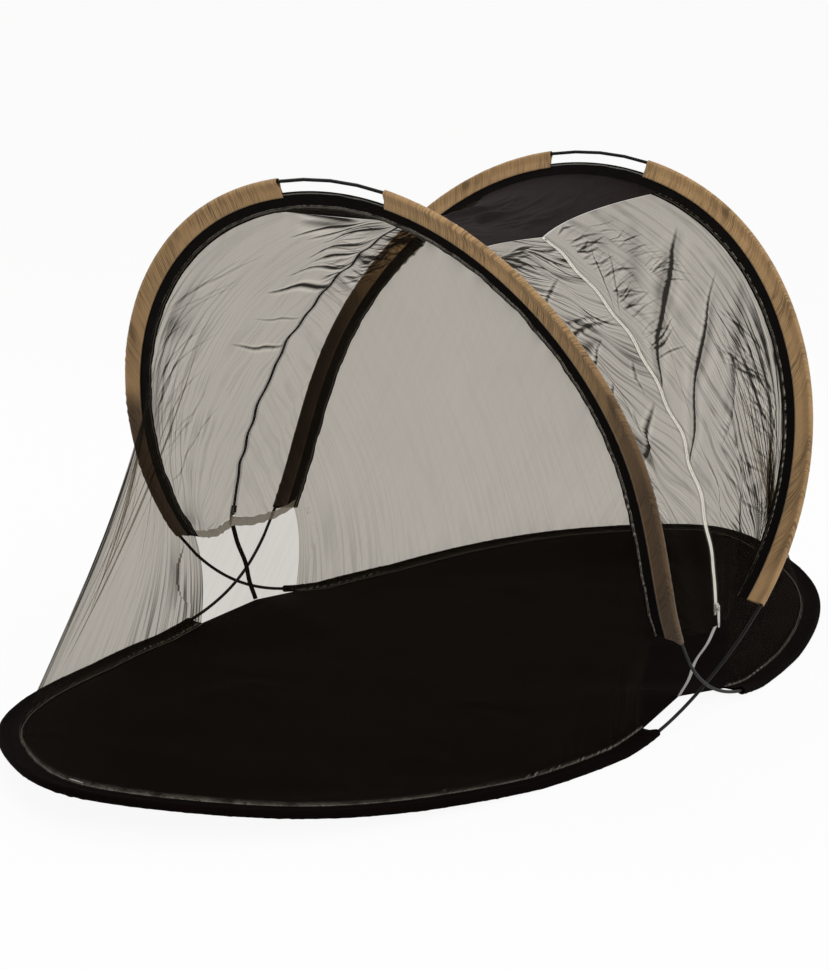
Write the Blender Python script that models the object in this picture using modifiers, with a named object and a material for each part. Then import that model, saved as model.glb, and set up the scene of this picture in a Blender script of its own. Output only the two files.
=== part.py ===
"""One-person pop-up mosquito net tent.

Two closed spring-wire hoops cross close to the ground on both long sides.
Each hoop is an arch that leans out over one end of the tent and a ground
loop that lies under the other end.  Fabric sleeves, hems, net panels, a
roof and a floor are sewn between them, and a zipper runs down each side.

Metres, +Z up, X along the tent, -Y the front side.  The origin is the
centre of the footprint, on the ground.
"""

import math

import bmesh
import bpy
import numpy as np
from mathutils import Matrix, Vector

# Spring hoops: stations of one wire's centre line, arch top to loop tip
ARCH_HEIGHT = 0.900
ARCH_TOP_REACH = 0.430
SHOULDER_HEIGHT = 0.830
SHOULDER_REACH = 0.415
SHOULDER_HALF_SPAN = 0.265
WIDEST_HEIGHT = 0.500
WIDEST_REACH = 0.305
WIDEST_HALF_SPAN = 0.520
LEG_HEIGHT = 0.200
LEG_REACH = 0.165
LEG_HALF_SPAN = 0.530
CROSSING_HEIGHT = 0.066
CROSSING_HALF_SPAN = 0.506
CROSSING_CLEARANCE = 0.001
FOOT_REACH = 0.250
FOOT_HALF_SPAN = 0.492
LOOP_MID_REACH = 0.550
LOOP_MID_HALF_SPAN = 0.440
LOOP_SHOULDER_REACH = 0.850
LOOP_SHOULDER_HALF_SPAN = 0.305
LOOP_CORNER_REACH = 0.990
LOOP_CORNER_HALF_SPAN = 0.150
LOOP_TIP_REACH = 1.050
LOOP_TIP_LIFT = 0.050
LOOP_FLAT_REACH = 0.300
WIRE_RADIUS = 0.003
FERRULE_WALL = 0.0007
FERRULE_LENGTH = 0.030

# Where the pieces along a hoop begin and end
HANDLE_HALF_OPENING = 0.105
ROOF_NARROW_HALF_SPAN = 0.150
ROOF_WIDE_HALF_SPAN = 0.260
SLEEVE_END_HEIGHT = 0.180
BEND_TOP_HEIGHT = 0.135
BEND_FOOT_REACH = 0.120
HEM_START_REACH = 0.150

# Sewn fabric
FABRIC = 0.001
NET_THICKNESS = 0.0008
SEAM_GAP = 0.0003
SLEEVE_EASE = 0.0015
SLEEVE_WIDTH = 0.028
SLEEVE_SEAM = 0.012
HEM_EASE = 0.0025
HEM_WIDTH = 0.036
HEM_SEAM = 0.014
BAND_WIDTH = 0.024
LAP = 0.008
SIDE_HEM_WIDTH = 0.018
SIDE_HEM_SAG = 0.012
TIE_WIDTH = 0.012

# Radii of the cloth folded round the wire, to the cloth's middle
SLEEVE_RADIUS = WIRE_RADIUS + SLEEVE_EASE + FABRIC / 2
HEM_RADIUS = WIRE_RADIUS + HEM_EASE + FABRIC / 2
FOLD_TURN_SHARES = (0.195, 0.397, 0.603, 0.805)

# Cloth shape
ROOF_DROOP = 0.030
ROOF_EDGE_DRAW = 0.020
NET_SAG = 0.030
SIDE_SAG = 0.020
FOLD_DEPTH = 0.010
RIPPLE_DEPTH = 0.004
NOTCH_INSET = 0.051
NOTCH_HEIGHT = 0.036
FLOOR_RISE = 0.050
FLOOR_RISE_SLOPE = 5.0
OUTWARD_TILT_SHARE = 0.3

# Zipper: an arc in the plane midway between the arches
ZIPPER_TOP_HALF_SPAN = 0.140
ZIPPER_TOP_HEIGHT = 0.790
ZIPPER_BOTTOM_HALF_SPAN = 0.515
ZIPPER_BOTTOM_HEIGHT = 0.190
ZIPPER_BULGE = 0.085
TAPE_WIDTH = 0.016
CHAIN_SLIT = 0.0007
CHAIN_WIDTH = 0.0026
CHAIN_HALF_THICKNESS = 0.0012
CHAIN_SHOULDER_SHARE = 0.667
SLIDER_LENGTH = 0.014
SLIDER_WIDTH = 0.010
SLIDER_PLATE = 0.0010
SLIDER_CLEARANCE = 0.00055
SLIDER_REST_GAP = 0.0015
SLIDER_CROWN = 0.0002
BAIL_SPAN = 0.009
BAIL_RISE = 0.0042
BAIL_BAR = 0.0011
PULL_LENGTH = 0.034
PULL_WIDTH = 0.0085
PULL_THICKNESS = 0.0012
PULL_BAR = 0.0014
PULL_WINDOW_LENGTH = 0.006
PULL_WINDOW_WIDTH = 0.0045
PULL_EYE_RADIUS = 0.0018
STOP_LENGTH = 0.004
STOP_RISE = 0.0006

# Pull's outline under its bar, as shares of its half width and its length
PULL_TOP_WIDTH_SHARE = 0.8
PULL_OUTLINE_SHARES = ((1.0, 0.55), (0.7, 0.92), (0.35, 1.0))
PULL_EYE_PLACE_SHARE = 0.82

# Pivots of the fold, all along Y
FOLD_PIVOT_HEIGHT = 0.050
ARCH_PIVOT_HEIGHT = 0.045

# How finely the curved pieces are divided
RING_COUNTS = {"handle": 2, "roof_narrow": 1, "roof_wide": 2, "net_end": 12, "sleeve_end": 1,
               "bend_top": 1, "crossing": 3, "bend_foot": 3, "hem_start": 1, "tip": 18}
SPLINE_DENSITY = 40
WIRE_BEVEL_RESOLUTION = 2
NET_COLUMNS = 10
NET_ROWS_PER_RING = 1
END_NET_ROWS = 6
ZIPPER_STEPS = 14
CHAIN_STEPS = 28
TIE_STEPS = 4
FERRULE_RING = 6
FERRULE_SIDES = 12
PULL_EYE_SIDES = 10
FLOOR_ROW_SHARES = (-1.0, -0.88, -0.6, 0.0, 0.6, 0.88, 1.0)
MERGE_DISTANCE = 0.00003

NEAR = -1.0
FAR = 1.0
LEFT = -1.0
RIGHT = 1.0
SIDE_NAMES = {NEAR: "near", FAR: "far"}
END_NAMES = {LEFT: "left", RIGHT: "right"}

# Folds of the net: waves over a panel's width, their lean over its height
DRAG_WAVES = 1.6
DRAG_LEANS = {NEAR: 0.9, FAR: 0.6}
DRAG_FADE = 1.6
RIPPLE_WAVES = 3.2
RIPPLE_LEAN = -0.8
WAVE_STARTS = {LEFT: 0.0, RIGHT: 1.3}
END_NET_WAVES = 9

# Colours, roughness and metallic value of each material
MATERIALS = {
    "spring_wire": ((0.035, 0.034, 0.036), 0.35, 0.9),
    "tan_sleeve": ((0.36, 0.235, 0.125), 0.85, 0.0),
    "black_band": ((0.020, 0.016, 0.014), 0.9, 0.0),
    "roof_fabric": ((0.030, 0.024, 0.020), 0.8, 0.0),
    "floor_fabric": ((0.014, 0.009, 0.009), 0.6, 0.0),
    "net": ((0.115, 0.100, 0.082), 0.9, 0.0),
    "side_hem": ((0.30, 0.25, 0.19), 0.85, 0.0),
    "zipper_light": ((0.52, 0.47, 0.39), 0.75, 0.0),
    "zipper_dark": ((0.030, 0.024, 0.021), 0.75, 0.0),
    "bright_metal": ((0.62, 0.61, 0.58), 0.3, 1.0),
}


def clear_scene():
    for item in list(bpy.data.objects):
        bpy.data.objects.remove(item, do_unlink=True)


def make_collection(name):
    collection = bpy.data.collections.new(name)
    bpy.context.scene.collection.children.link(collection)
    return collection


def make_material(name):
    colour, roughness, metallic = MATERIALS[name]
    material = bpy.data.materials.new(name)
    material.use_nodes = True
    material.diffuse_color = (*colour, 1.0)
    shader = material.node_tree.nodes["Principled BSDF"]
    shader.inputs["Base Color"].default_value = (*colour, 1.0)
    shader.inputs["Roughness"].default_value = roughness
    shader.inputs["Metallic"].default_value = metallic
    return material


def unit(vector):
    return vector / np.linalg.norm(vector)


def smoothstep(value):
    value = min(max(value, 0.0), 1.0)
    return value * value * (3.0 - 2.0 * value)


class ClosedSpline:
    """Smooth closed curve through stations: a periodic cubic in chord length."""

    def __init__(self, stations):
        self.stations = np.array(stations, float)
        following = np.roll(self.stations, -1, axis=0)
        self.chords = np.linalg.norm(following - self.stations, axis=1)
        slopes = (following - self.stations) / self.chords[:, None]
        count = len(self.stations)
        system = np.zeros((count, count))
        right_side = np.zeros((count, 3))
        for k in range(count):
            before, after = self.chords[k - 1], self.chords[k]
            system[k, k - 1] = before
            system[k, k] = 2.0 * (before + after)
            system[k, (k + 1) % count] = after
            right_side[k] = 6.0 * (slopes[k] - slopes[k - 1])
        self.bends = np.linalg.solve(system, right_side)

    def point(self, station, share):
        nxt = (station + 1) % len(self.stations)
        chord = self.chords[station]
        here, there = 1.0 - share, share
        cubic = (here ** 3 - here) * self.bends[station] + (there ** 3 - there) * self.bends[nxt]
        return here * self.stations[station] + there * self.stations[nxt] + cubic * chord ** 2 / 6.0


def loop_lift(reach):
    """Height that the ground loop springs up to, at a distance along the tent."""
    share = (reach - LOOP_FLAT_REACH) / (LOOP_TIP_REACH - LOOP_FLAT_REACH)
    return LOOP_TIP_LIFT * max(share, 0.0) ** 2


class Hoop:
    """One spring hoop, with its arch over one end and its loop under the other."""

    def __init__(self, end):
        self.end = end
        self.name = END_NAMES[end]
        self.bed = HEM_RADIUS + FABRIC / 2
        rise = np.array([end * (ARCH_TOP_REACH - LEG_REACH), 0.0, ARCH_HEIGHT - LEG_HEIGHT])
        lean = unit(rise)
        self.centre_side = np.array([-end * lean[2], 0.0, end * lean[0]])
        run = (LEG_HEIGHT - ARCH_PIVOT_HEIGHT) * rise[0] / rise[2]
        self.pivot = Vector((end * LEG_REACH - run, 0.0, ARCH_PIVOT_HEIGHT))
        self.build_rings()

    def half_stations(self):
        """Stations from the arch top to the loop tip, with the span left positive."""
        crossing = CROSSING_HALF_SPAN - self.end * (WIRE_RADIUS + CROSSING_CLEARANCE)
        arch = [(ARCH_TOP_REACH, 0.0, ARCH_HEIGHT), (SHOULDER_REACH, SHOULDER_HALF_SPAN, SHOULDER_HEIGHT),
                (WIDEST_REACH, WIDEST_HALF_SPAN, WIDEST_HEIGHT), (LEG_REACH, LEG_HALF_SPAN, LEG_HEIGHT),
                (0.0, crossing, CROSSING_HEIGHT)]
        loop = [(FOOT_REACH, FOOT_HALF_SPAN), (LOOP_MID_REACH, LOOP_MID_HALF_SPAN),
                (LOOP_SHOULDER_REACH, LOOP_SHOULDER_HALF_SPAN), (LOOP_CORNER_REACH, LOOP_CORNER_HALF_SPAN),
                (LOOP_TIP_REACH, 0.0)]
        points = [(self.end * x, y, z) for x, y, z in arch]
        return points + [(-self.end * x, y, self.bed + loop_lift(x)) for x, y in loop]

    def dense_half(self):
        half = self.half_stations()
        near = [(x, NEAR * y, z) for x, y, z in half]
        far = [(x, FAR * y, z) for x, y, z in half[-2:0:-1]]
        spline = ClosedSpline(near + far)
        steps = [(k, j / SPLINE_DENSITY) for k in range(len(half) - 1) for j in range(SPLINE_DENSITY)]
        points = np.array([spline.point(k, share) for k, share in steps] + [np.array(near[-1])])
        points[:, 2] = np.maximum(points[:, 2], self.bed)
        return points

    def build_rings(self):
        """Rings of sections around the hoop, with one ring at each piece's end."""
        dense = self.dense_half()
        lengths = np.r_[0.0, np.cumsum(np.linalg.norm(np.diff(dense, axis=0), axis=1))]
        crossing = len(dense) - 1 - int(np.argmin(np.abs(dense[::-1, 0])))
        leg = slice(0, crossing + 1)
        widest = int(np.argmax(np.abs(dense[leg, 1])))
        height, reach, span = dense[:, 2], -self.end * dense[:, 0], -dense[:, 1]

        def at_height(value):
            return float(np.interp(-value, -height[widest:crossing + 1], lengths[widest:crossing + 1]))

        def at_span(value):
            return float(np.interp(value, span[:widest], lengths[:widest]))

        def at_reach(value):
            return float(np.interp(value, reach[crossing:], lengths[crossing:]))

        sleeve_end = at_height(SLEEVE_END_HEIGHT)
        marks = {"handle": HANDLE_HALF_OPENING, "roof_narrow": at_span(ROOF_NARROW_HALF_SPAN),
                 "roof_wide": at_span(ROOF_WIDE_HALF_SPAN),
                 "net_end": sleeve_end - SIDE_HEM_WIDTH, "sleeve_end": sleeve_end,
                 "bend_top": at_height(BEND_TOP_HEIGHT), "crossing": lengths[crossing],
                 "bend_foot": at_reach(BEND_FOOT_REACH), "hem_start": at_reach(HEM_START_REACH),
                 "tip": lengths[-1]}
        places, self.index, start = [0.0], {}, 0.0
        for name, count in RING_COUNTS.items():
            places += [start + (marks[name] - start) * (j + 1) / count for j in range(count)]
            start = marks[name]
            self.index[name] = len(places) - 1
        half = np.stack([np.interp(places, lengths, dense[:, axis]) for axis in range(3)], axis=1)
        mirrored = half[-2:0:-1] * np.array([1.0, -1.0, 1.0])
        self.points = np.concatenate([half, mirrored])
        self.build_frames()

    def roof_mark(self, side):
        """Ring of the roof's corner, which is wide at the near left and the far right."""
        return self.signed("roof_wide" if side == self.end else "roof_narrow", side)

    def build_frames(self):
        count = len(self.points)
        steps = np.roll(self.points, -1, axis=0) - self.points
        steps /= np.linalg.norm(steps, axis=1)[:, None]
        self.tangents = steps + np.roll(steps, 1, axis=0)
        self.tangents /= np.linalg.norm(self.tangents, axis=1)[:, None]
        self.across, self.inward = np.zeros((count, 3)), np.zeros((count, 3))
        for k in range(count):
            on_arch = min(k, count - k) < self.index["crossing"]
            normal = self.centre_side if on_arch else np.array([0.0, 0.0, 1.0])
            tangent = self.tangents[k]
            self.across[k] = unit(normal - tangent * (normal @ tangent))
            inward = np.cross(tangent, self.across[k])
            middle = np.array([self.end * WIDEST_REACH, 0.0, WIDEST_HEIGHT])
            if not on_arch:
                middle = np.array([-self.end * LOOP_MID_REACH, 0.0, 0.0])
            self.inward[k] = inward * np.sign(inward @ (middle - self.points[k]))

    def place(self, ring, inward=0.0, across=0.0):
        ring %= len(self.points)
        return self.points[ring] + self.inward[ring] * inward + self.across[ring] * across

    def signed(self, mark, side):
        """Ring of a mark on the arch, counted from the arch top to the near side."""
        return self.index[mark] if side == NEAR else -self.index[mark]

    @staticmethod
    def arch_rings(first, last):
        return list(range(first, last + 1))

    def loop_rings(self, mark):
        first = self.index[mark]
        return list(range(first, len(self.points) - first + 1))


class Workshop:
    """Makes the named objects and puts them in the tent's collection."""

    def __init__(self):
        self.collection = make_collection("mosquito_net_tent")
        self.cutters = make_collection("cutters")
        self.materials = {name: make_material(name) for name in MATERIALS}

    def finish(self, name, data, material, pivot=None):
        item = bpy.data.objects.new(name, data)
        data.materials.append(self.materials[material])
        self.collection.objects.link(item)
        if pivot is not None:
            item.parent = pivot
            item.location = -pivot.location
        return item

    def pivot(self, name, location):
        empty = bpy.data.objects.new(name, None)
        empty.location = location
        self.collection.objects.link(empty)
        return empty

    def tube(self, name, points, radius, material, pivot):
        curve = bpy.data.curves.new(name, "CURVE")
        curve.dimensions = "3D"
        curve.bevel_depth = radius
        curve.bevel_resolution = WIRE_BEVEL_RESOLUTION
        curve.use_fill_caps = True
        spline = curve.splines.new("POLY")
        spline.points.add(len(points) - 1)
        for target, point in zip(spline.points, points):
            target.co = (*point, 1.0)
        return self.finish(name, curve, material, pivot)

    def sheet(self, name, rows, thickness, material, pivot):
        """Sewn cloth: a grid of points as an open surface, given its thickness."""
        mesh = bpy.data.meshes.new(name)
        bm = bmesh.new()
        grid = [[bm.verts.new(point) for point in row] for row in rows]
        for row, following in zip(grid, grid[1:]):
            for k in range(len(row) - 1):
                bm.faces.new((row[k], row[k + 1], following[k + 1], following[k]))
        bmesh.ops.recalc_face_normals(bm, faces=bm.faces)
        bm.to_mesh(mesh)
        bm.free()
        mesh.shade_smooth()
        item = self.finish(name, mesh, material, pivot)
        solid = item.modifiers.new("thickness", "SOLIDIFY")
        solid.thickness = thickness
        solid.offset = 0.0
        return item

    def bar(self, name, sections, material, pivot):
        """A solid lofted through closed sections of equal point count."""
        mesh = bpy.data.meshes.new(name)
        bm = bmesh.new()
        rings = [[bm.verts.new(point) for point in section] for section in sections]
        for ring, following in zip(rings, rings[1:]):
            for k in range(len(ring)):
                j = (k + 1) % len(ring)
                bm.faces.new((ring[k], ring[j], following[j], following[k]))
        bm.faces.new(rings[0][::-1])
        bm.faces.new(rings[-1])
        bmesh.ops.recalc_face_normals(bm, faces=bm.faces)
        bm.to_mesh(mesh)
        bm.free()
        return self.finish(name, mesh, material, pivot)

    def plate(self, name, outlines, thickness):
        """A flat outline, with any holes, given a thickness by extruding."""
        curve = bpy.data.curves.new(name, "CURVE")
        curve.dimensions = "2D"
        curve.fill_mode = "BOTH"
        curve.extrude = thickness / 2
        for outline in outlines:
            spline = curve.splines.new("POLY")
            spline.points.add(len(outline) - 1)
            spline.use_cyclic_u = True
            for target, point in zip(spline.points, outline):
                target.co = (*point, 0.0, 1.0)
        source = bpy.data.objects.new(name, curve)
        self.collection.objects.link(source)
        bpy.context.view_layer.update()
        mesh = bpy.data.meshes.new_from_object(source.evaluated_get(bpy.context.evaluated_depsgraph_get()))
        bpy.data.objects.remove(source)
        bm = bmesh.new()
        bm.from_mesh(mesh)
        bmesh.ops.remove_doubles(bm, verts=bm.verts, dist=MERGE_DISTANCE)
        bm.to_mesh(mesh)
        bm.free()
        return mesh


def polyline_at(points, share):
    """Point at a share of the way along a chain of points, counted in points."""
    place = min(max(share, 0.0), 1.0) * (len(points) - 1)
    k = min(int(place), len(points) - 2)
    return points[k] + (points[k + 1] - points[k]) * (place - k)


def coons_patch(first, last, head, tail, column_shares, row_shares):
    """Rows of points between four sewn edges.

    first and last are the edges that the rows start and end on, head and
    tail are the first and the last row, all as functions of a share.
    """
    rows = []
    for v in row_shares:
        row = []
        for u in column_shares:
            ruled = first(v) * (1 - u) + last(v) * u + head(u) * (1 - v) + tail(u) * v
            above = first(0.0) * (1 - u) + last(0.0) * u
            below = first(1.0) * (1 - u) + last(1.0) * u
            row.append(ruled - above * (1 - v) - below * v)
        rows.append(row)
    return rows


def push_folds(rows, depth_at, outward):
    """Push a patch's points along its normal, by a depth for each share pair."""
    grid = np.array(rows)
    along = np.gradient(grid, axis=0)
    over = np.gradient(grid, axis=1)
    normals = np.cross(over, along)
    normals /= np.linalg.norm(normals, axis=2, keepdims=True)
    normals *= np.sign(normals @ outward)[..., None]
    last_row, last_column = len(rows) - 1, len(rows[0]) - 1
    for j in range(last_row + 1):
        for k in range(last_column + 1):
            grid[j, k] += normals[j, k] * depth_at(k / last_column, j / last_row)
    return [list(row) for row in grid]


def shares(count):
    return [k / count for k in range(count + 1)]


def folded_profile(radius, seam, width, half_gap):
    """Fabric strip folded round the wire, as (inward, across) places."""
    turns = [2 * math.pi * share for share in FOLD_TURN_SHARES]
    bend = [(radius * math.cos(turn), radius * math.sin(turn)) for turn in turns]
    return [(width, half_gap), (seam, half_gap)] + bend + [(seam, -half_gap), (width, -half_gap)]


def make_wires(shop, hoop, arch_pivot, loop_pivot):
    bend_top, bend_foot = hoop.index["bend_top"], hoop.index["bend_foot"]
    arch = [hoop.place(k) for k in hoop.arch_rings(-bend_top, bend_top)]
    loop = [hoop.place(k) for k in hoop.loop_rings("bend_foot")]
    shop.tube(f"arch_wire_{hoop.name}", arch, WIRE_RADIUS, "spring_wire", arch_pivot)
    shop.tube(f"loop_wire_{END_NAMES[-hoop.end]}", loop, WIRE_RADIUS, "spring_wire", loop_pivot)
    for side in (NEAR, FAR):
        step = 1 if side == NEAR else -1
        points = [hoop.place(step * k) for k in range(bend_top, bend_foot + 1)]
        points[0] = points[0] + unit(points[1] - points[0]) * SEAM_GAP
        points[-1] = points[-1] + unit(points[-2] - points[-1]) * SEAM_GAP
        shop.tube(f"wire_bend_{hoop.name}_{SIDE_NAMES[side]}", points, WIRE_RADIUS, "spring_wire", loop_pivot)


def make_ferrule(shop, hoop, pivot):
    """Crimped tube over the joint of the wire, inside the hem beside the far edge."""
    start, stop = (hoop.place(-hoop.index["hem_start"] - FERRULE_RING - k) for k in (0, 1))
    middle, along = (start + stop) / 2, stop - start
    inner = WIRE_RADIUS + SEAM_GAP
    outer = inner + FERRULE_WALL
    mesh = bpy.data.meshes.new("ferrule")
    bm = bmesh.new()
    profile = [(outer, FERRULE_LENGTH / 2), (outer, -FERRULE_LENGTH / 2),
               (inner, -FERRULE_LENGTH / 2), (inner, FERRULE_LENGTH / 2)]
    verts = [bm.verts.new((radius, 0.0, height)) for radius, height in profile]
    for k in range(len(verts)):
        bm.edges.new((verts[k], verts[(k + 1) % len(verts)]))
    bm.to_mesh(mesh)
    bm.free()
    item = shop.finish(f"ferrule_{END_NAMES[-hoop.end]}", mesh, "bright_metal", pivot)
    item.location = Vector(middle) - (pivot.location if pivot else Vector())
    item.rotation_euler = Vector(along).to_track_quat("Z", "X").to_euler()
    screw = item.modifiers.new("turn", "SCREW")
    screw.steps = screw.render_steps = FERRULE_SIDES
    screw.use_merge_vertices = True
    screw.merge_threshold = MERGE_DISTANCE


def make_sleeves(shop, hoop, pivot):
    """Tan sleeves on both legs of the arch, open at the handle on its top."""
    half_gap = FABRIC / 2 + SEAM_GAP + NET_THICKNESS / 2
    profile = folded_profile(SLEEVE_RADIUS, SLEEVE_SEAM, SLEEVE_WIDTH, half_gap)
    for side in (NEAR, FAR):
        ends = sorted((hoop.signed("handle", side), hoop.signed("sleeve_end", side)))
        rows = [[hoop.place(k, *place) for place in profile] for k in hoop.arch_rings(*ends)]
        shop.sheet(f"sleeve_{hoop.name}_{SIDE_NAMES[side]}", rows, FABRIC, "tan_sleeve", pivot)


def make_band(shop, hoop, pivot):
    """Black band between the sleeve and the panels, unbroken under the handle."""
    end = hoop.index["sleeve_end"]
    edges = (SLEEVE_WIDTH - LAP, SLEEVE_WIDTH + BAND_WIDTH)
    rows = [[hoop.place(k, edge) for edge in edges] for k in hoop.arch_rings(-end, end)]
    shop.sheet(f"band_{hoop.name}", rows, NET_THICKNESS, "black_band", pivot)


def make_hem(shop, hoop, pivot):
    """Hem of the floor, folded round the ground loop's wire."""
    half_gap = FABRIC / 2 + SEAM_GAP + NET_THICKNESS / 2
    profile = folded_profile(HEM_RADIUS, HEM_SEAM, HEM_WIDTH, half_gap)
    rows = [[hoop.place(k, *place) for place in profile] for k in hoop.loop_rings("hem_start")]
    shop.sheet(f"hem_{END_NAMES[-hoop.end]}", rows, FABRIC, "floor_fabric", pivot)


def band_line(hoop, rings, face):
    """Places on the band where a panel is sewn, on its centre or its end face."""
    lap_place = SLEEVE_WIDTH + BAND_WIDTH - LAP
    return [hoop.place(k, lap_place, face * (NET_THICKNESS + SEAM_GAP)) for k in rings]


def zipper_arc(side):
    """Centre and radius of the zipper's arc, and its end angles from +Z."""
    top = np.array([ZIPPER_TOP_HALF_SPAN, ZIPPER_TOP_HEIGHT])
    bottom = np.array([ZIPPER_BOTTOM_HALF_SPAN, ZIPPER_BOTTOM_HEIGHT])
    chord = bottom - top
    half = np.linalg.norm(chord) / 2
    radius = (half ** 2 + ZIPPER_BULGE ** 2) / (2 * ZIPPER_BULGE)
    outward = unit(np.array([-chord[1], chord[0]]))
    centre = (top + bottom) / 2 - outward * (radius - ZIPPER_BULGE)
    angles = [math.atan2(*(place - centre)) for place in (top, bottom)]
    return np.array([0.0, side * centre[0], centre[1]]), radius, angles


def zipper_frame(side, angle):
    """Point, outward normal and upward tangent on the zipper's arc."""
    centre, radius, _ = zipper_arc(side)
    outward = np.array([0.0, side * math.sin(angle), math.cos(angle)])
    upward = np.array([0.0, -side * math.cos(angle), math.sin(angle)])
    return centre + outward * radius, outward, upward


def zipper_line(side, reach):
    _, _, (top, bottom) = zipper_arc(side)
    steps = [top + (bottom - top) * share for share in shares(ZIPPER_STEPS)]
    return [zipper_frame(side, angle)[0] + np.array([reach, 0.0, 0.0]) for angle in steps]


def drawn_edge(start, stop, draw):
    """Edge between two sewn corners, drawn in by a vector at its middle."""
    return lambda share: start + (stop - start) * share + draw * (4 * share * (1 - share))


def roof_edge(hoop, side, below=0.0):
    """Half of the roof's side edge, from the arch to the zipper."""
    down = unit(np.array([0.0, side * ZIPPER_TOP_HEIGHT, -ZIPPER_TOP_HEIGHT])) * below
    corner = band_line(hoop, [hoop.roof_mark(side)], 1.0)[0]
    zipper = zipper_line(side, hoop.end * (TAPE_WIDTH + SEAM_GAP))[0]
    draw = np.array([0.0, -side * ROOF_EDGE_DRAW, -ROOF_EDGE_DRAW / 2])
    return drawn_edge(corner + down, zipper + down, draw)


def side_hem_edge(hoop, side, mark, below=0.0):
    """Half of the side panel's lower edge, from the arch to the zipper."""
    width = 0.0 if mark == "net_end" else SIDE_HEM_WIDTH
    corner = band_line(hoop, [hoop.signed(mark, side)], 1.0)[0]
    zipper = zipper_line(side, hoop.end * (TAPE_WIDTH + SEAM_GAP))[-1]
    down = np.array([0.0, 0.0, -1.0])
    draw = down * SIDE_HEM_SAG
    return drawn_edge(corner + down * below, zipper + down * (width + below), draw)


def side_net_depth(hoop, side):
    """Main folds of a side panel: drag lines that run in from the upper corner."""
    start, lean = WAVE_STARTS[hoop.end], DRAG_LEANS[side]

    def depth(u, v):
        hold = math.sqrt(math.sin(math.pi * u) * math.sin(math.pi * v))
        drag = math.sin(2 * math.pi * (DRAG_WAVES * u + lean * v) + start) * math.exp(-DRAG_FADE * v)
        ripple = math.sin(2 * math.pi * (RIPPLE_WAVES * u + RIPPLE_LEAN * v) + start)
        sag = SIDE_SAG * math.sin(math.pi * u) * v * (1 - v)
        return hold * (FOLD_DEPTH * drag + RIPPLE_DEPTH * ripple) - sag
    return depth


def make_side_net(shop, hoop, side, pivot):
    """Net between one arch and the zipper, from the roof to the side hem."""
    step = 1 if side == NEAR else -1
    rings = list(range(hoop.roof_mark(side), hoop.signed("net_end", side) + step, step))
    clear = SEAM_GAP + NET_THICKNESS
    sewn = band_line(hoop, rings, 1.0)
    head = roof_edge(hoop, side, clear)
    tail = side_hem_edge(hoop, side, "net_end")
    sewn[0] = head(0.0)
    zipper = zipper_line(side, hoop.end * (TAPE_WIDTH + SEAM_GAP))
    zipper[0] = head(1.0)
    rows = coons_patch(lambda v: polyline_at(sewn, v), lambda v: polyline_at(zipper, v), head, tail,
                       shares(NET_COLUMNS), shares(NET_ROWS_PER_RING * RING_COUNTS["net_end"]))
    outward = np.array([0.0, side, OUTWARD_TILT_SHARE])
    rows = push_folds(rows, side_net_depth(hoop, side), outward)
    shop.sheet(f"side_net_{SIDE_NAMES[side]}_{hoop.name}", rows, NET_THICKNESS, "net", pivot)


def make_side_hem(shop, hoops, side, pivot):
    """Folded tape under both halves of a side panel."""
    rows = []
    for mark in ("net_end", "sleeve_end"):
        below = SEAM_GAP if mark == "net_end" else 0.0
        left, right = (side_hem_edge(hoops[end], side, mark, below) for end in (LEFT, RIGHT))
        columns = shares(NET_COLUMNS)
        rows.append([left(u) for u in columns] + [right(u) for u in reversed(columns)])
    shop.sheet(f"side_hem_{SIDE_NAMES[side]}", rows, NET_THICKNESS, "side_hem", pivot)


def make_roof(shop, hoops, pivot):
    """Dark roof between the arch tops, drawn in along both side edges."""
    sewn = []
    for end in (LEFT, RIGHT):
        rings = range(hoops[end].roof_mark(FAR), hoops[end].roof_mark(NEAR) + 1)
        sewn.append(band_line(hoops[end], rings, 1.0))
    left, right = sewn
    column_shares = shares(2 * NET_COLUMNS + 1)

    def whole_edge(side):
        left_half, right_half = (roof_edge(hoops[end], side) for end in (LEFT, RIGHT))
        points = [left_half(u) for u in shares(NET_COLUMNS)]
        points += [right_half(u) for u in reversed(shares(NET_COLUMNS))]
        return lambda share: polyline_at(points, share)

    rows = coons_patch(lambda v: polyline_at(left, v), lambda v: polyline_at(right, v),
                       whole_edge(FAR), whole_edge(NEAR), column_shares, shares(len(left) - 1))
    rows = push_folds(rows, lambda u, v: -ROOF_DROOP * math.sin(math.pi * u) * math.sin(math.pi * v),
                      np.array([0.0, 0.0, 1.0]))
    shop.sheet("roof", rows, NET_THICKNESS, "roof_fabric", pivot)


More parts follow.
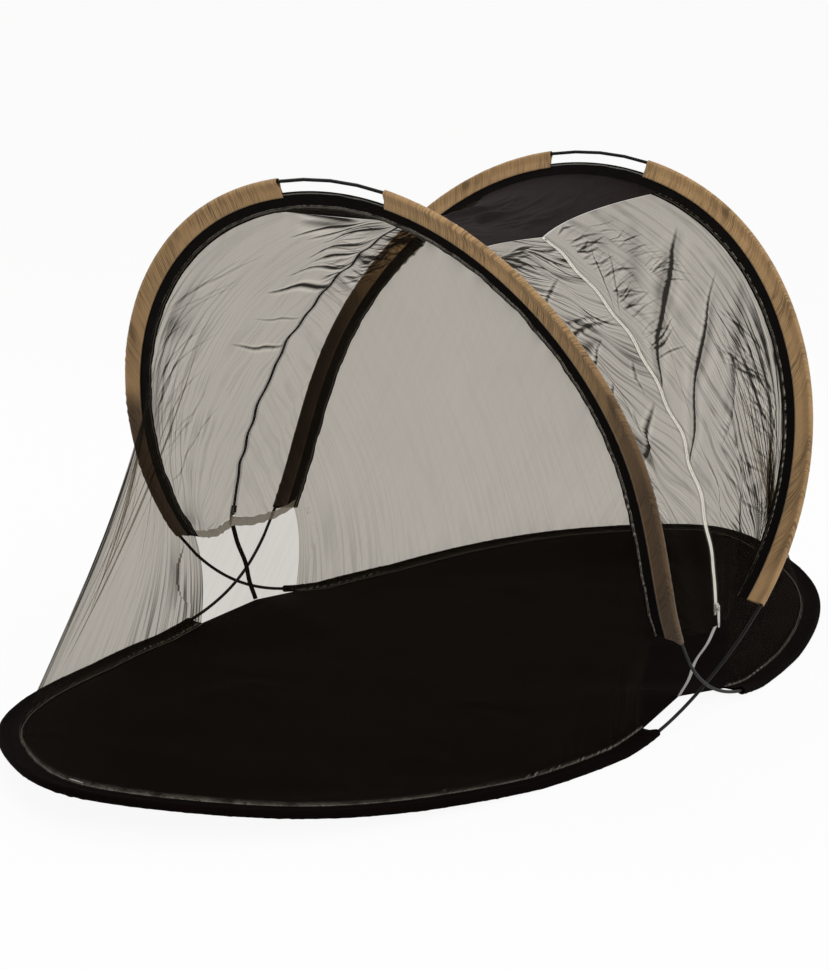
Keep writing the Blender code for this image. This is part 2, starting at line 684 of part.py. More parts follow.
def make_end_net(shop, arch_hoop, loop_hoop, pivot):
    """Net between one arch and the ground loop under it."""
    end = arch_hoop.index["sleeve_end"]
    sewn = band_line(arch_hoop, arch_hoop.arch_rings(-end, end), -1.0)[::-1]
    lift = NET_THICKNESS / 2 + SEAM_GAP + FABRIC + SEAM_GAP + NET_THICKNESS / 2
    hem = [loop_hoop.place(k, HEM_WIDTH - LAP, lift) for k in loop_hoop.loop_rings("hem_start")]

    def free_edge(start, stop, side):
        return drawn_edge(start, stop, np.array([0.0, -side * NET_SAG / 3, NET_SAG / 3]))

    rows = coons_patch(free_edge(sewn[0], hem[0], NEAR), free_edge(sewn[-1], hem[-1], FAR),
                       lambda u: polyline_at(sewn, u), lambda u: polyline_at(hem, u),
                       shares(len(sewn) - 1), shares(END_NET_ROWS))

    def depth(u, v):
        ripple = math.sin(2 * math.pi * END_NET_WAVES * u) * math.sin(math.pi * u)
        return (RIPPLE_DEPTH * ripple - NET_SAG) * math.sin(math.pi * v) * math.sqrt(math.sin(math.pi * u))

    rows = push_folds(rows, depth, np.array([arch_hoop.end, 0.0, OUTWARD_TILT_SHARE]))
    shop.sheet(f"end_net_{arch_hoop.name}", rows, NET_THICKNESS, "net", pivot)


def floor_row(edge, lap):
    """One row of the floor from the near edge to the far edge.

    edge and lap are the near and far places in the seam and just inside it.
    """
    middle, spread = (lap[0] + lap[1]) / 2, (lap[1] - lap[0]) / 2
    bottom = NET_THICKNESS / 2
    rise = max(lap[0][2] - bottom, 0.0)
    row = [edge[0]]
    for share in FLOOR_ROW_SHARES:
        point = middle + spread * share
        inset = (1 - abs(share)) * np.linalg.norm(spread)
        point[2] = bottom + rise * (1 - smoothstep(inset / (FLOOR_RISE + FLOOR_RISE_SLOPE * rise)))
        row.append(point)
    return row + [edge[1]]


def notch_place(side, inward):
    """Place in the notch of the floor's side edge, midway between the hoops' feet."""
    return np.array([0.0, side * (CROSSING_HALF_SPAN - NOTCH_INSET - inward), NOTCH_HEIGHT])


def make_floor(shop, hoops):
    """Floor sheet, flat on the ground and rising to the hems and the side notches."""
    rows = []
    for end in (RIGHT, LEFT):
        hoop, first, tip = hoops[end], hoops[end].index["hem_start"], hoops[end].index["tip"]
        half = []
        for ring in range(first, tip):
            edge, lap = ([hoop.place(side * ring, inward) for side in (1, -1)]
                         for inward in (HEM_WIDTH - LAP, HEM_WIDTH + LAP / 2))
            half.append(floor_row(edge, lap))
        if end == RIGHT:
            rows += half[::-1]
            edge, lap = ([notch_place(side, inward) for side in (NEAR, FAR)] for inward in (0.0, LAP))
            rows.append(floor_row(edge, lap))
        else:
            rows += half
    shop.sheet("floor", rows, NET_THICKNESS, "floor_fabric", None)


def make_tie(shop, side):
    """Strap from the middle of the side hem down to the floor's notch."""
    clear = SEAM_GAP + NET_THICKNESS / 2
    hem = zipper_line(side, 0.0)[-1] + np.array([0.0, 0.0, -SIDE_HEM_WIDTH - clear])
    notch = notch_place(side, -clear) + np.array([0.0, 0.0, clear])
    middle = drawn_edge(hem, notch, np.zeros(3))
    rows = [[middle(share) + np.array([reach, 0.0, 0.0]) for reach in (-TIE_WIDTH / 2, TIE_WIDTH / 2)]
            for share in shares(TIE_STEPS)]
    shop.sheet(f"tie_{SIDE_NAMES[side]}", rows, NET_THICKNESS, "black_band", None)


def make_zipper_tapes(shop, side, pivot):
    """Two tapes, each with its half of the chain along the middle."""
    _, radius, (top, bottom) = zipper_arc(side)
    clear = (SEAM_GAP + NET_THICKNESS) / radius
    angles = [top + clear + (bottom - top - 2 * clear) * share for share in shares(CHAIN_STEPS)]
    tape, chain, slit = NET_THICKNESS / 2, CHAIN_HALF_THICKNESS, CHAIN_SLIT
    shoulder, nose = slit + CHAIN_WIDTH * CHAIN_SHOULDER_SHARE, chain * CHAIN_SHOULDER_SHARE
    section = [(TAPE_WIDTH, tape), (slit + CHAIN_WIDTH, tape), (shoulder, chain), (slit, nose),
               (slit, -nose), (shoulder, -chain), (slit + CHAIN_WIDTH, -tape), (TAPE_WIDTH, -tape)]
    material = "zipper_light" if side == NEAR else "zipper_dark"
    for end in (LEFT, RIGHT):
        sections = []
        for angle in angles:
            point, outward, _ = zipper_frame(side, angle)
            along = np.array([end, 0.0, 0.0])
            sections.append([point + along * reach + outward * rise for reach, rise in section])
        shop.bar(f"zip_tape_{SIDE_NAMES[side]}_{END_NAMES[end]}", sections, material, pivot)


def arc_matrix(side, angle):
    """Axes of a piece on the zipper: X along the tent, Y up the chain, Z outwards."""
    point, outward, upward = zipper_frame(side, angle)
    axes = np.column_stack([np.cross(upward, outward), upward, outward])
    return Matrix.Translation(Vector(point)) @ Matrix(axes.tolist()).to_4x4()


def make_stop(shop, side, angle, name, pivot):
    """Crimped stop over both halves of the chain."""
    half_width = CHAIN_SLIT + CHAIN_WIDTH
    inner = CHAIN_HALF_THICKNESS + SEAM_GAP
    outer = inner + STOP_RISE
    outline = [(-half_width, inner), (half_width, inner), (half_width, outer), (-half_width, outer)]
    mesh = shop.plate(name, [outline], STOP_LENGTH)
    stand = Matrix.Rotation(math.pi / 2, 4, "X")
    mesh.transform(arc_matrix(side, angle) @ stand)
    return shop.finish(name, mesh, "bright_metal", pivot)


def slider_angle(side):
    """Angle of the slider's middle with the zipper closed, down at its stop."""
    _, radius, (_, bottom) = zipper_arc(side)
    return bottom - (STOP_LENGTH * 3 / 2 + SLIDER_REST_GAP + SLIDER_LENGTH / 2) / radius


def make_slider(shop, side, pivot):
    """Slider body: two plates joined by a web in the chain's slit, and its bail."""
    inner = CHAIN_HALF_THICKNESS + SLIDER_CLEARANCE
    outer, half, web = inner + SLIDER_PLATE, SLIDER_WIDTH / 2, CHAIN_SLIT - SEAM_GAP
    root = inner - SLIDER_CROWN
    body = [(-half, -outer), (half, -outer), (half, -inner), (web, -root), (web, root), (half, inner),
            (half, outer), (-half, outer), (-half, inner), (-web, root), (-web, -root), (-half, -inner)]
    name = f"zip_slider_{SIDE_NAMES[side]}"
    stand = Matrix.Rotation(math.pi / 2, 4, "X")
    body_mesh = shop.plate(name, [body], SLIDER_LENGTH)
    body_mesh.transform(stand)
    span, rise, bar = BAIL_SPAN / 2, BAIL_RISE, BAIL_BAR
    foot = outer - SLIDER_PLATE / 2
    crest, inside = outer + rise, outer + rise - bar
    right_half = [(span - bar, crest), (span, inside), (span, foot), (span - bar, foot), (span - bar, inside)]
    bail = right_half + [(-x, y) for x, y in reversed(right_half)]
    bail_mesh = shop.plate(name + "_bail", [bail], BAIL_BAR * 2)
    bail_mesh.transform(Matrix.Rotation(math.pi / 2, 4, "Z") @ Matrix.Rotation(math.pi / 2, 4, "X"))
    placing = Matrix.Translation(-pivot.location) @ arc_matrix(side, slider_angle(side))
    item = shop.finish(name, body_mesh, "bright_metal")
    tool = bpy.data.objects.new(name + "_bail", bail_mesh)
    shop.cutters.objects.link(tool)
    tool.hide_render = True
    tool.display_type = "WIRE"
    union = item.modifiers.new("bail", "BOOLEAN")
    union.operation = "UNION"
    union.solver = "EXACT"
    union.object = tool
    body_mesh.transform(placing)
    bail_mesh.transform(placing)
    for piece in (item, tool):
        piece.parent = pivot


def pull_height():
    """Height of the pull's bar over the chain, inside the bail."""
    return CHAIN_HALF_THICKNESS + SLIDER_CLEARANCE + SLIDER_PLATE + (BAIL_RISE - BAIL_BAR) / 2


def make_pull(shop, side, pivot):
    """Pull tab with the window that its bail passes through and a round eye."""
    half, window, bar = PULL_WIDTH / 2, PULL_WINDOW_WIDTH / 2, PULL_BAR / 2
    right_edge = [(half * PULL_TOP_WIDTH_SHARE, bar), (half, -PULL_BAR)]
    right_edge += [(half * width, -PULL_LENGTH * length) for width, length in PULL_OUTLINE_SHARES]
    outline = right_edge + [(-x, y) for x, y in reversed(right_edge)]
    sill = -bar - PULL_WINDOW_LENGTH
    hole = [(-window, -bar), (window, -bar), (window, sill), (-window, sill)]
    turns = [2 * math.pi * share for share in shares(PULL_EYE_SIDES)[:-1]]
    middle, radius = -PULL_LENGTH * PULL_EYE_PLACE_SHARE, PULL_EYE_RADIUS
    eye = [(radius * math.cos(turn), middle + radius * math.sin(turn)) for turn in turns]
    name = f"zip_pull_{SIDE_NAMES[side]}"
    mesh = shop.plate(name, [outline, hole, eye], PULL_THICKNESS)
    placing = arc_matrix(side, slider_angle(side))
    mesh.transform(placing.to_3x3().to_4x4())
    item = shop.finish(name, mesh, "bright_metal")
    item.parent = pivot


def make_zipper(shop, side, canopy):
    centre, radius, (top, bottom) = zipper_arc(side)
    name = SIDE_NAMES[side]
    make_zipper_tapes(shop, side, canopy)
    ends = STOP_LENGTH / radius
    make_stop(shop, side, bottom - ends, f"zip_stop_bottom_{name}", canopy)
    make_stop(shop, side, top + 2 * ends, f"zip_stop_top_{name}", canopy)
    slider_pivot = shop.pivot(f"pivot_slider_{name}", Vector(centre))
    make_slider(shop, side, slider_pivot)
    bar = arc_matrix(side, slider_angle(side)) @ Vector((0.0, 0.0, pull_height()))
    pull_pivot = shop.pivot(f"pivot_pull_{name}", bar)
    make_pull(shop, side, pull_pivot)


def build():
    clear_scene()
    shop = Workshop()
    hoops = {end: Hoop(end) for end in (LEFT, RIGHT)}
    fold = shop.pivot("pivot_loop_left", (0.0, 0.0, FOLD_PIVOT_HEIGHT))
    canopy = shop.pivot("pivot_canopy", (0.0, 0.0, FOLD_PIVOT_HEIGHT))
    arches = {end: shop.pivot(f"pivot_arch_{END_NAMES[end]}", hoops[end].pivot) for end in (LEFT, RIGHT)}
    loops = {LEFT: fold, RIGHT: None}
    for end, hoop in hoops.items():
        make_wires(shop, hoop, arches[end], loops[-end])
        make_ferrule(shop, hoop, loops[-end])
        make_sleeves(shop, hoop, arches[end])
        make_band(shop, hoop, arches[end])
        make_hem(shop, hoop, loops[-end])
        make_end_net(shop, hoop, hoops[-end], loops[end])
        for side in (NEAR, FAR):
            make_side_net(shop, hoop, side, canopy)
    make_roof(shop, hoops, canopy)
    make_floor(shop, hoops)
    for side in (NEAR, FAR):
        make_side_hem(shop, hoops, side, canopy)
        make_tie(shop, side)
        make_zipper(shop, side, canopy)


build()
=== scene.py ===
"""Pop-up mosquito net tent: the sewn cloth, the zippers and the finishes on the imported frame."""

import math

import bpy
import numpy as np
from mathutils import Matrix, Vector


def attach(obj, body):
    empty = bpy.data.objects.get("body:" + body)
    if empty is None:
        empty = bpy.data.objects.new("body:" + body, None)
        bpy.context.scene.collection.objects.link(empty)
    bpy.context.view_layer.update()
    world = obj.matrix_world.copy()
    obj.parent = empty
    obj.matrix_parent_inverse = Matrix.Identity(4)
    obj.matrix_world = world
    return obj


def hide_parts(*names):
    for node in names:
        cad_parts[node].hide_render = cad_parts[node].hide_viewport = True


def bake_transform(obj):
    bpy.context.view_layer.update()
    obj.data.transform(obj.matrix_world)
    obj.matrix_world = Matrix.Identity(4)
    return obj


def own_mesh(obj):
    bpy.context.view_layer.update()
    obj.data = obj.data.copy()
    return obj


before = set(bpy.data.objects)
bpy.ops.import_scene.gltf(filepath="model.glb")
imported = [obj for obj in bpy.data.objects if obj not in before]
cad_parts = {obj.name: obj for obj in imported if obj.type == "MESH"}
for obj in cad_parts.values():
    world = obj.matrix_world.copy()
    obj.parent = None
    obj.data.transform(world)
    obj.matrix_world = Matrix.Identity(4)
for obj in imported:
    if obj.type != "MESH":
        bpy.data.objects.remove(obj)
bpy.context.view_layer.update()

bl_info = {
    "name": "Pop-up net tent",
    "version": (1, 0, 0),
    "blender": (4, 5, 0),
    "location": "3D View > Sidebar > Net Tent",
    "description": "Sews the cloth of a pop-up mosquito net tent onto its spring hoops",
    "category": "Object",
}

NEAR, FAR, LEFT, RIGHT = -1.0, 1.0, -1.0, 1.0
SIDE_NAMES = {NEAR: "near", FAR: "far"}
END_NAMES = {LEFT: "left", RIGHT: "right"}

# Stations of one spring hoop, in metres: reach along the tent, half span, height
ARCH_STATIONS = ((0.430, 0.0, 0.900), (0.415, 0.265, 0.830), (0.305, 0.520, 0.500), (0.165, 0.530, 0.200))
CROSSING_HALF_SPAN, CROSSING_HEIGHT, CROSSING_SHIFT = 0.506, 0.066, 0.004
LOOP_STATIONS = ((0.250, 0.492), (0.550, 0.440), (0.850, 0.305), (0.990, 0.150), (1.050, 0.0))
LOOP_BED, LOOP_TIP_LIFT, LOOP_FLAT_REACH, LOOP_TIP_REACH = 0.0065, 0.050, 0.300, 1.050

# Marks along a hoop, as half spans, heights or reaches
HANDLE_HALF_OPENING = 0.105
ROOF_NARROW, ROOF_WIDE = 0.150, 0.260
SLEEVE_END_HEIGHT, BEND_TOP_HEIGHT = 0.180, 0.135
BEND_FOOT_REACH, HEM_START_REACH = 0.120, 0.150

# How far sewn pieces overlap, and the notch in the floor's edge at each long side
LAP = 0.008
NOTCH_HALF_SPAN, NOTCH_HEIGHT = 0.455, 0.036

# Zipper arc in the plane midway between the arches: half span and height of its ends
ZIPPER_TOP, ZIPPER_BOTTOM, ZIPPER_BULGE = (0.140, 0.790), (0.515, 0.190), 0.085


def length_setting(name, description, default):
    return bpy.props.FloatProperty(name=name, description=description, default=default, unit="LENGTH")


def colour_setting(name, description, default):
    return bpy.props.FloatVectorProperty(name=name, description=description, default=default,
                                         subtype="COLOR", size=3, min=0, max=1)


class TentSizes(bpy.types.PropertyGroup):
    """Sizes of the sewn pieces"""

    wire_radius: length_setting("Wire radius", "Half the spring wire's thickness", 0.003)
    sleeve_width: length_setting("Sleeve width", "From the wire to the sleeve's inner edge", 0.028)
    sleeve_radius: length_setting("Sleeve radius", "Of the sleeve's fold round the wire", 0.005)
    band_width: length_setting("Band width", "Black binding that shows beside the sleeve", 0.024)
    hem_width: length_setting("Hem width", "From the ground wire to the hem's inner edge", 0.036)
    hem_radius: length_setting("Hem radius", "Of the hem's fold round the ground wire", 0.006)
    side_hem: length_setting("Side hem", "Height of the tape under a side panel", 0.018)
    tape_half: length_setting("Zipper tape", "Half of the closed zipper's width", 0.0052)
    cloth: length_setting("Cloth thickness", "Of the coated cloth pieces", 0.0006)


class TentColours(bpy.types.PropertyGroup):
    """Base colours of the finishes"""

    net: colour_setting("Net", "Thread of the net", (0.0060, 0.0042, 0.0020))
    tan: colour_setting("Sleeve", "Tan sleeves of the arches", (0.44, 0.272, 0.125))
    black: colour_setting("Binding", "Black binding", (0.0034, 0.0024, 0.0020))
    roof: colour_setting("Roof", "Dark roof cloth", (0.0110, 0.0064, 0.0060))
    floor: colour_setting("Floor", "Floor cloth and its hems", (0.0030, 0.0012, 0.0012))
    pale: colour_setting("Pale tape", "Coil and tape of the near zipper", (0.86, 0.82, 0.74))
    metal: colour_setting("Metal", "Zipper sliders and pulls", (0.60, 0.58, 0.54))
    net_cover: bpy.props.FloatProperty(name="Net cover", default=0.350, subtype="FACTOR", min=0, max=1,
                                       description="Share of the light that the net stops")


def sizes():
    return bpy.context.scene.net_tent_sizes


def colours():
    return bpy.context.scene.net_tent_colours


def unit(vectors):
    return vectors / np.linalg.norm(vectors, axis=-1, keepdims=True)


def smoothstep(values):
    values = np.clip(values, 0.0, 1.0)
    return values * values * (3.0 - 2.0 * values)


# Spring hoops

def closed_spline(stations, density):
    """Points on a periodic cubic through the stations, even in each chord."""
    stations = np.array(stations, float)
    after = np.roll(stations, -1, axis=0)
    chords = np.linalg.norm(after - stations, axis=1)
    slopes = (after - stations) / chords[:, None]
    count = len(stations)
    system = np.zeros((count, count))
    for k in range(count):
        system[k, k - 1] = chords[k - 1]
        system[k, k] = 2.0 * (chords[k - 1] + chords[k])
        system[k, (k + 1) % count] = chords[k]
    bends = np.linalg.solve(system, 6.0 * (slopes - np.roll(slopes, 1, axis=0)))
    points = []
    for k in range(count):
        j = (k + 1) % count
        for share in np.arange(density) / density:
            here, there = 1.0 - share, share
            cubic = (here ** 3 - here) * bends[k] + (there ** 3 - there) * bends[j]
            points.append(here * stations[k] + there * stations[j] + cubic * chords[k] ** 2 / 6.0)
    return np.array(points)


class Hoop:
    """One spring wire: its arch over one end of the tent and its loop under the other."""

    def __init__(self, end):
        self.end = end
        crossing = (0.0, CROSSING_HALF_SPAN - end * CROSSING_SHIFT, CROSSING_HEIGHT)
        arch = [(end * x, y, z) for x, y, z in ARCH_STATIONS] + [crossing]
        loop = []
        for x, y in LOOP_STATIONS:
            share = max((x - LOOP_FLAT_REACH) / (LOOP_TIP_REACH - LOOP_FLAT_REACH), 0.0)
            loop.append((-end * x, y, LOOP_BED + LOOP_TIP_LIFT * share ** 2))
        half = arch + loop
        stations = [(x, -y, z) for x, y, z in half] + half[-2:0:-1]
        density = 120
        dense = closed_spline(stations, density)[:(len(half) - 1) * density + 1]
        dense[:, 2] = np.maximum(dense[:, 2], LOOP_BED)
        self.points = dense
        self.lengths = np.r_[0.0, np.cumsum(np.linalg.norm(np.diff(dense, axis=0), axis=1))]
        self.crossing_index = (len(arch) - 1) * density
        self.find_marks()
        self.find_frames()

    def find_marks(self):
        leg = slice(0, self.crossing_index + 1)
        widest = int(np.argmin(self.points[leg, 1]))
        span, height, reach = -self.points[:, 1], self.points[:, 2], -self.end * self.points[:, 0]
        down = slice(widest, self.crossing_index + 1)
        loop = slice(self.crossing_index, None)

        def at_span(value):
            return float(np.interp(value, span[:widest], self.lengths[:widest]))

        def at_height(value):
            return float(np.interp(-value, -height[down], self.lengths[down]))

        def at_reach(value):
            return float(np.interp(value, reach[loop], self.lengths[loop]))

        sleeve_end = at_height(SLEEVE_END_HEIGHT)
        self.marks = {"handle": HANDLE_HALF_OPENING, "roof_narrow": at_span(ROOF_NARROW),
                      "roof_wide": at_span(ROOF_WIDE), "net_end": sleeve_end - sizes().side_hem,
                      "sleeve_end": sleeve_end, "bend_top": at_height(BEND_TOP_HEIGHT),
                      "crossing": float(self.lengths[self.crossing_index]),
                      "bend_foot": at_reach(BEND_FOOT_REACH), "hem_start": at_reach(HEM_START_REACH),
                      "tip": float(self.lengths[-1])}

    def find_frames(self):
        tangents = unit(np.gradient(self.points, self.lengths, axis=0))
        tangents[0] = (0.0, -1.0, 0.0)
        tangents[-1] = (0.0, 1.0, 0.0)
        top, leg = ARCH_STATIONS[0], ARCH_STATIONS[-1]
        rise = unit(np.array([self.end * (top[0] - leg[0]), 0.0, top[2] - leg[2]]))
        centre_side = np.array([-self.end * rise[2], 0.0, self.end * rise[0]])
        on_arch = (np.arange(len(self.points)) < self.crossing_index)[:, None]
        normals = np.where(on_arch, centre_side, np.array([0.0, 0.0, 1.0]))
        across = unit(normals - tangents * (normals * tangents).sum(1, keepdims=True))
        inward = np.cross(tangents, across)
        arch_middle = np.array([self.end * ARCH_STATIONS[2][0], 0.0, ARCH_STATIONS[2][2]])
        loop_middle = np.array([-self.end * LOOP_STATIONS[1][0], 0.0, 0.0])
        middle = np.where(on_arch, arch_middle, loop_middle)
        facing = np.sign((inward * (middle - self.points)).sum(1, keepdims=True))
        self.across, self.inward = across, inward * facing

    def sample(self, table, lengths):
        lengths = np.abs(lengths)
        return np.stack([np.interp(lengths, self.lengths, table[:, axis]) for axis in range(3)], axis=-1)

    def place(self, lengths, inward=0.0, across=0.0):
        """Places at signed lengths from the arch top, positive towards the near side."""
        lengths = np.asarray(lengths, float)
        inward, across = np.asarray(inward, float)[..., None], np.asarray(across, float)[..., None]
        spot = self.sample(self.points, lengths)
        spot = spot + unit(self.sample(self.inward, lengths)) * inward
        spot = spot + unit(self.sample(self.across, lengths)) * across
        flip = np.where(lengths < 0.0, -1.0, 1.0)
        return np.stack([spot[..., 0], spot[..., 1] * flip, spot[..., 2]], axis=-1)

    def spot(self, length):
        return tuple(self.place(np.array([length]))[0])

    def roof_mark(self, side):
        """Signed length of the roof's corner on one side."""
        name = "roof_wide" if side == self.end else "roof_narrow"
        return -side * self.marks[name]


def both_hoops():
    return {end: Hoop(end) for end in (LEFT, RIGHT)}


# Folds of cloth

def soft_noise(rng, count, low, high):
    """Sum of waves with seeded lengths and starts, about -1 to 1, over a real length."""
    waves = rng.uniform(low, high, count)
    starts = rng.uniform(0.0, 2.0 * math.pi, count)

    def value(lengths):
        turns = [2.0 * math.pi * np.asarray(lengths) / wave + start for wave, start in zip(waves, starts)]
        return sum(np.sin(turn) for turn in turns) / math.sqrt(count)
    return value


# A fold of net across its line, in widths: its ridge, and its lit flank with that flank's share of darkness
RIDGE_WIDTH, FLANK_PLACE, FLANK_WIDTH, FLANK_SHARE = 1.6, 2.1, 0.9, 0.22
FOLD_REACH = 4.5


def crease(across, down, line):
    """Height and darkness of one fold of net, along a chain of places in the panel's own metres."""
    points, width, depth, dark = line
    points = np.array(points, float)
    runs = np.diff(points, axis=0)
    lengths = np.linalg.norm(runs, axis=1)
    starts = np.r_[0.0, np.cumsum(lengths)]
    nearest, offset, share = np.full(across.shape, 9.0), np.zeros_like(across), np.zeros_like(across)
    for start, run, length, before in zip(points, runs / lengths[:, None], lengths, starts):
        along = np.clip((across - start[0]) * run[0] + (down - start[1]) * run[1], 0.0, length)
        aside_x, aside_y = across - start[0] - along * run[0], down - start[1] - along * run[1]
        distance = np.hypot(aside_x, aside_y)
        closer = distance < nearest
        side = np.sign(aside_y * run[0] - aside_x * run[1])
        nearest = np.where(closer, distance, nearest)
        offset = np.where(closer, distance * side, offset)
        share = np.where(closer, (before + along) / starts[-1], share)
    taper = np.sin(np.pi * np.clip(share, 0.0, 1.0)) ** 0.6
    width = width * (0.35 + 0.65 * taper)
    ridge = np.exp(-(offset / (RIDGE_WIDTH * width)) ** 2) * taper
    core = np.exp(-(offset / width) ** 2) * taper
    lit = np.exp(-((np.abs(offset) - FLANK_PLACE * width) / (FLANK_WIDTH * width)) ** 2) * taper
    return depth * ridge, dark * (core - FLANK_SHARE * lit)


def fold_field(across, down, lines):
    """Sum of the folds, each worked out only near its own line."""
    height, gather = np.zeros_like(across), np.zeros_like(across)
    for line in lines:
        reach = FOLD_REACH * line[1]
        low, high = np.min(line[0], axis=0) - reach, np.max(line[0], axis=0) + reach
        near = (across > low[0]) & (across < high[0]) & (down > low[1]) & (down < high[1])
        more_height, more_gather = crease(across[near], down[near], line)
        height[near] += more_height
        gather[near] += more_gather
    return height, gather


def drag_lines(rng, count, start, stop, turn, turn_spread, length, width, depth, dark):
    """A family of folds whose starts lie between two places, fanning about one direction."""
    lines = []
    first, last = np.array(start), np.array(stop)
    for _ in range(count):
        root = first + (last - first) * rng.uniform()
        angle = math.radians(turn + rng.uniform(-turn_spread, turn_spread))
        reach = length * rng.uniform(0.45, 1.25)
        bow = reach * rng.uniform(-0.10, 0.10)
        ahead = np.array([math.cos(angle), math.sin(angle)])
        aside = np.array([-math.sin(angle), math.cos(angle)])
        places = (root, root + ahead * reach / 2 + aside * bow, root + ahead * reach)
        fold_width = width * rng.uniform(0.6, 1.5)
        fold_depth = depth * rng.uniform(0.3, 1.2)
        lines.append((places, fold_width, fold_depth, dark * rng.uniform(0.15, 1.1)))
    return lines


def coons(first, last, head, tail):
    """Patch between four sewn edges: first and last bound the rows, head and tail the columns."""
    v = np.linspace(0.0, 1.0, len(first))[:, None, None]
    u = np.linspace(0.0, 1.0, len(head))[None, :, None]
    ruled = first[:, None] * (1 - u) + last[:, None] * u + head[None] * (1 - v) + tail[None] * v
    corners = (first[0] * (1 - u) + last[0] * u) * (1 - v) + (first[-1] * (1 - u) + last[-1] * u) * v
    return ruled - corners


def sewn_hold(v, u):
    """How free each place of a panel is to move off its surface, none along its seams."""
    return np.sqrt(np.outer(np.sin(np.pi * v), np.sin(np.pi * u)).clip(0.0, 1.0))


def grid_normals(grid, outward):
    normals = np.cross(np.gradient(grid, axis=1), np.gradient(grid, axis=0))
    normals = normals / np.maximum(np.linalg.norm(normals, axis=2, keepdims=True), 1e-12)
    return normals * np.where((normals @ np.array(outward, float))[..., None] < 0.0, -1.0, 1.0)


def grid_lengths(grid):
    """Real lengths along the rows and the columns, which lay the weave out evenly."""
    over = np.cumsum(np.linalg.norm(np.diff(grid, axis=1), axis=2), axis=1)
    over = np.concatenate([np.zeros((len(grid), 1)), over], axis=1)
    along = np.cumsum(np.linalg.norm(np.diff(grid, axis=0), axis=2), axis=0)
    along = np.concatenate([np.zeros((1, grid.shape[1])), along], axis=0)
    return over - over.mean(axis=1, keepdims=True), along


def select_only(item):
    bpy.ops.object.select_all(action="DESELECT")
    item.select_set(True)
    bpy.context.view_layer.objects.active = item


def apply_modifiers(item):
    select_only(item)
    for modifier in list(item.modifiers):
        bpy.ops.object.modifier_apply(modifier=modifier.name)


def edge_distance(over):
    """Distance of each place of a grid from the nearer end of its row."""
    return np.minimum(over - over.min(axis=1, keepdims=True), over.max(axis=1, keepdims=True) - over)


def sew_sheet(name, grid, material, thickness=0.0, outward=None, marks=None):
    """A grid of cloth shaped to its seams and folds, with its weave laid in real metres."""
    rows, columns = grid.shape[:2]
    bpy.ops.object.select_all(action="DESELECT")
    bpy.ops.mesh.primitive_grid_add(x_subdivisions=columns - 1, y_subdivisions=rows - 1, size=1.0,
                                    calc_uvs=True)
    item = bpy.context.object
    item.name = item.data.name = name
    mesh = item.data
    mesh.vertices.foreach_set("co", grid.reshape(-1, 3).astype(np.float32).ravel())
    over, along = grid_lengths(grid)
    places = np.stack([over, along], axis=2).reshape(-1, 2)
    corner_vertices = np.empty(len(mesh.loops), dtype=np.int64)
    mesh.loops.foreach_get("vertex_index", corner_vertices)
    mesh.uv_layers[0].data.foreach_set("uv", places[corner_vertices].astype(np.float32).ravel())
    for mark, values in {"edge": edge_distance(over), **(marks or {})}.items():
        kind, field = ("FLOAT_VECTOR", "vector") if values.ndim == 3 else ("FLOAT", "value")
        layer = mesh.attributes.new(mark, kind, "POINT")
        layer.data.foreach_set(field, values.astype(np.float32).ravel())
    mesh.update()
    if outward is not None:
        normals = np.empty(len(mesh.polygons) * 3)
        mesh.polygons.foreach_get("normal", normals)
        if (normals.reshape(-1, 3) @ np.array(outward, float)).sum() < 0.0:
            mesh.flip_normals()
    if thickness > 0.0:
        solid = item.modifiers.new("thickness", "SOLIDIFY")
        solid.thickness = thickness
        solid.offset = 0.0
        apply_modifiers(item)
    select_only(item)
    bpy.ops.object.shade_smooth()
    cover_with(item, material)
    return item


# Finishes

# Scale of a wave texture whose lines lie one metre apart
LINES_PER_METRE = 0.314
EVEN = (1.0, 1.0, 1.0)
STITCH_PITCH, MESH_PITCH = 0.0034, 0.0013


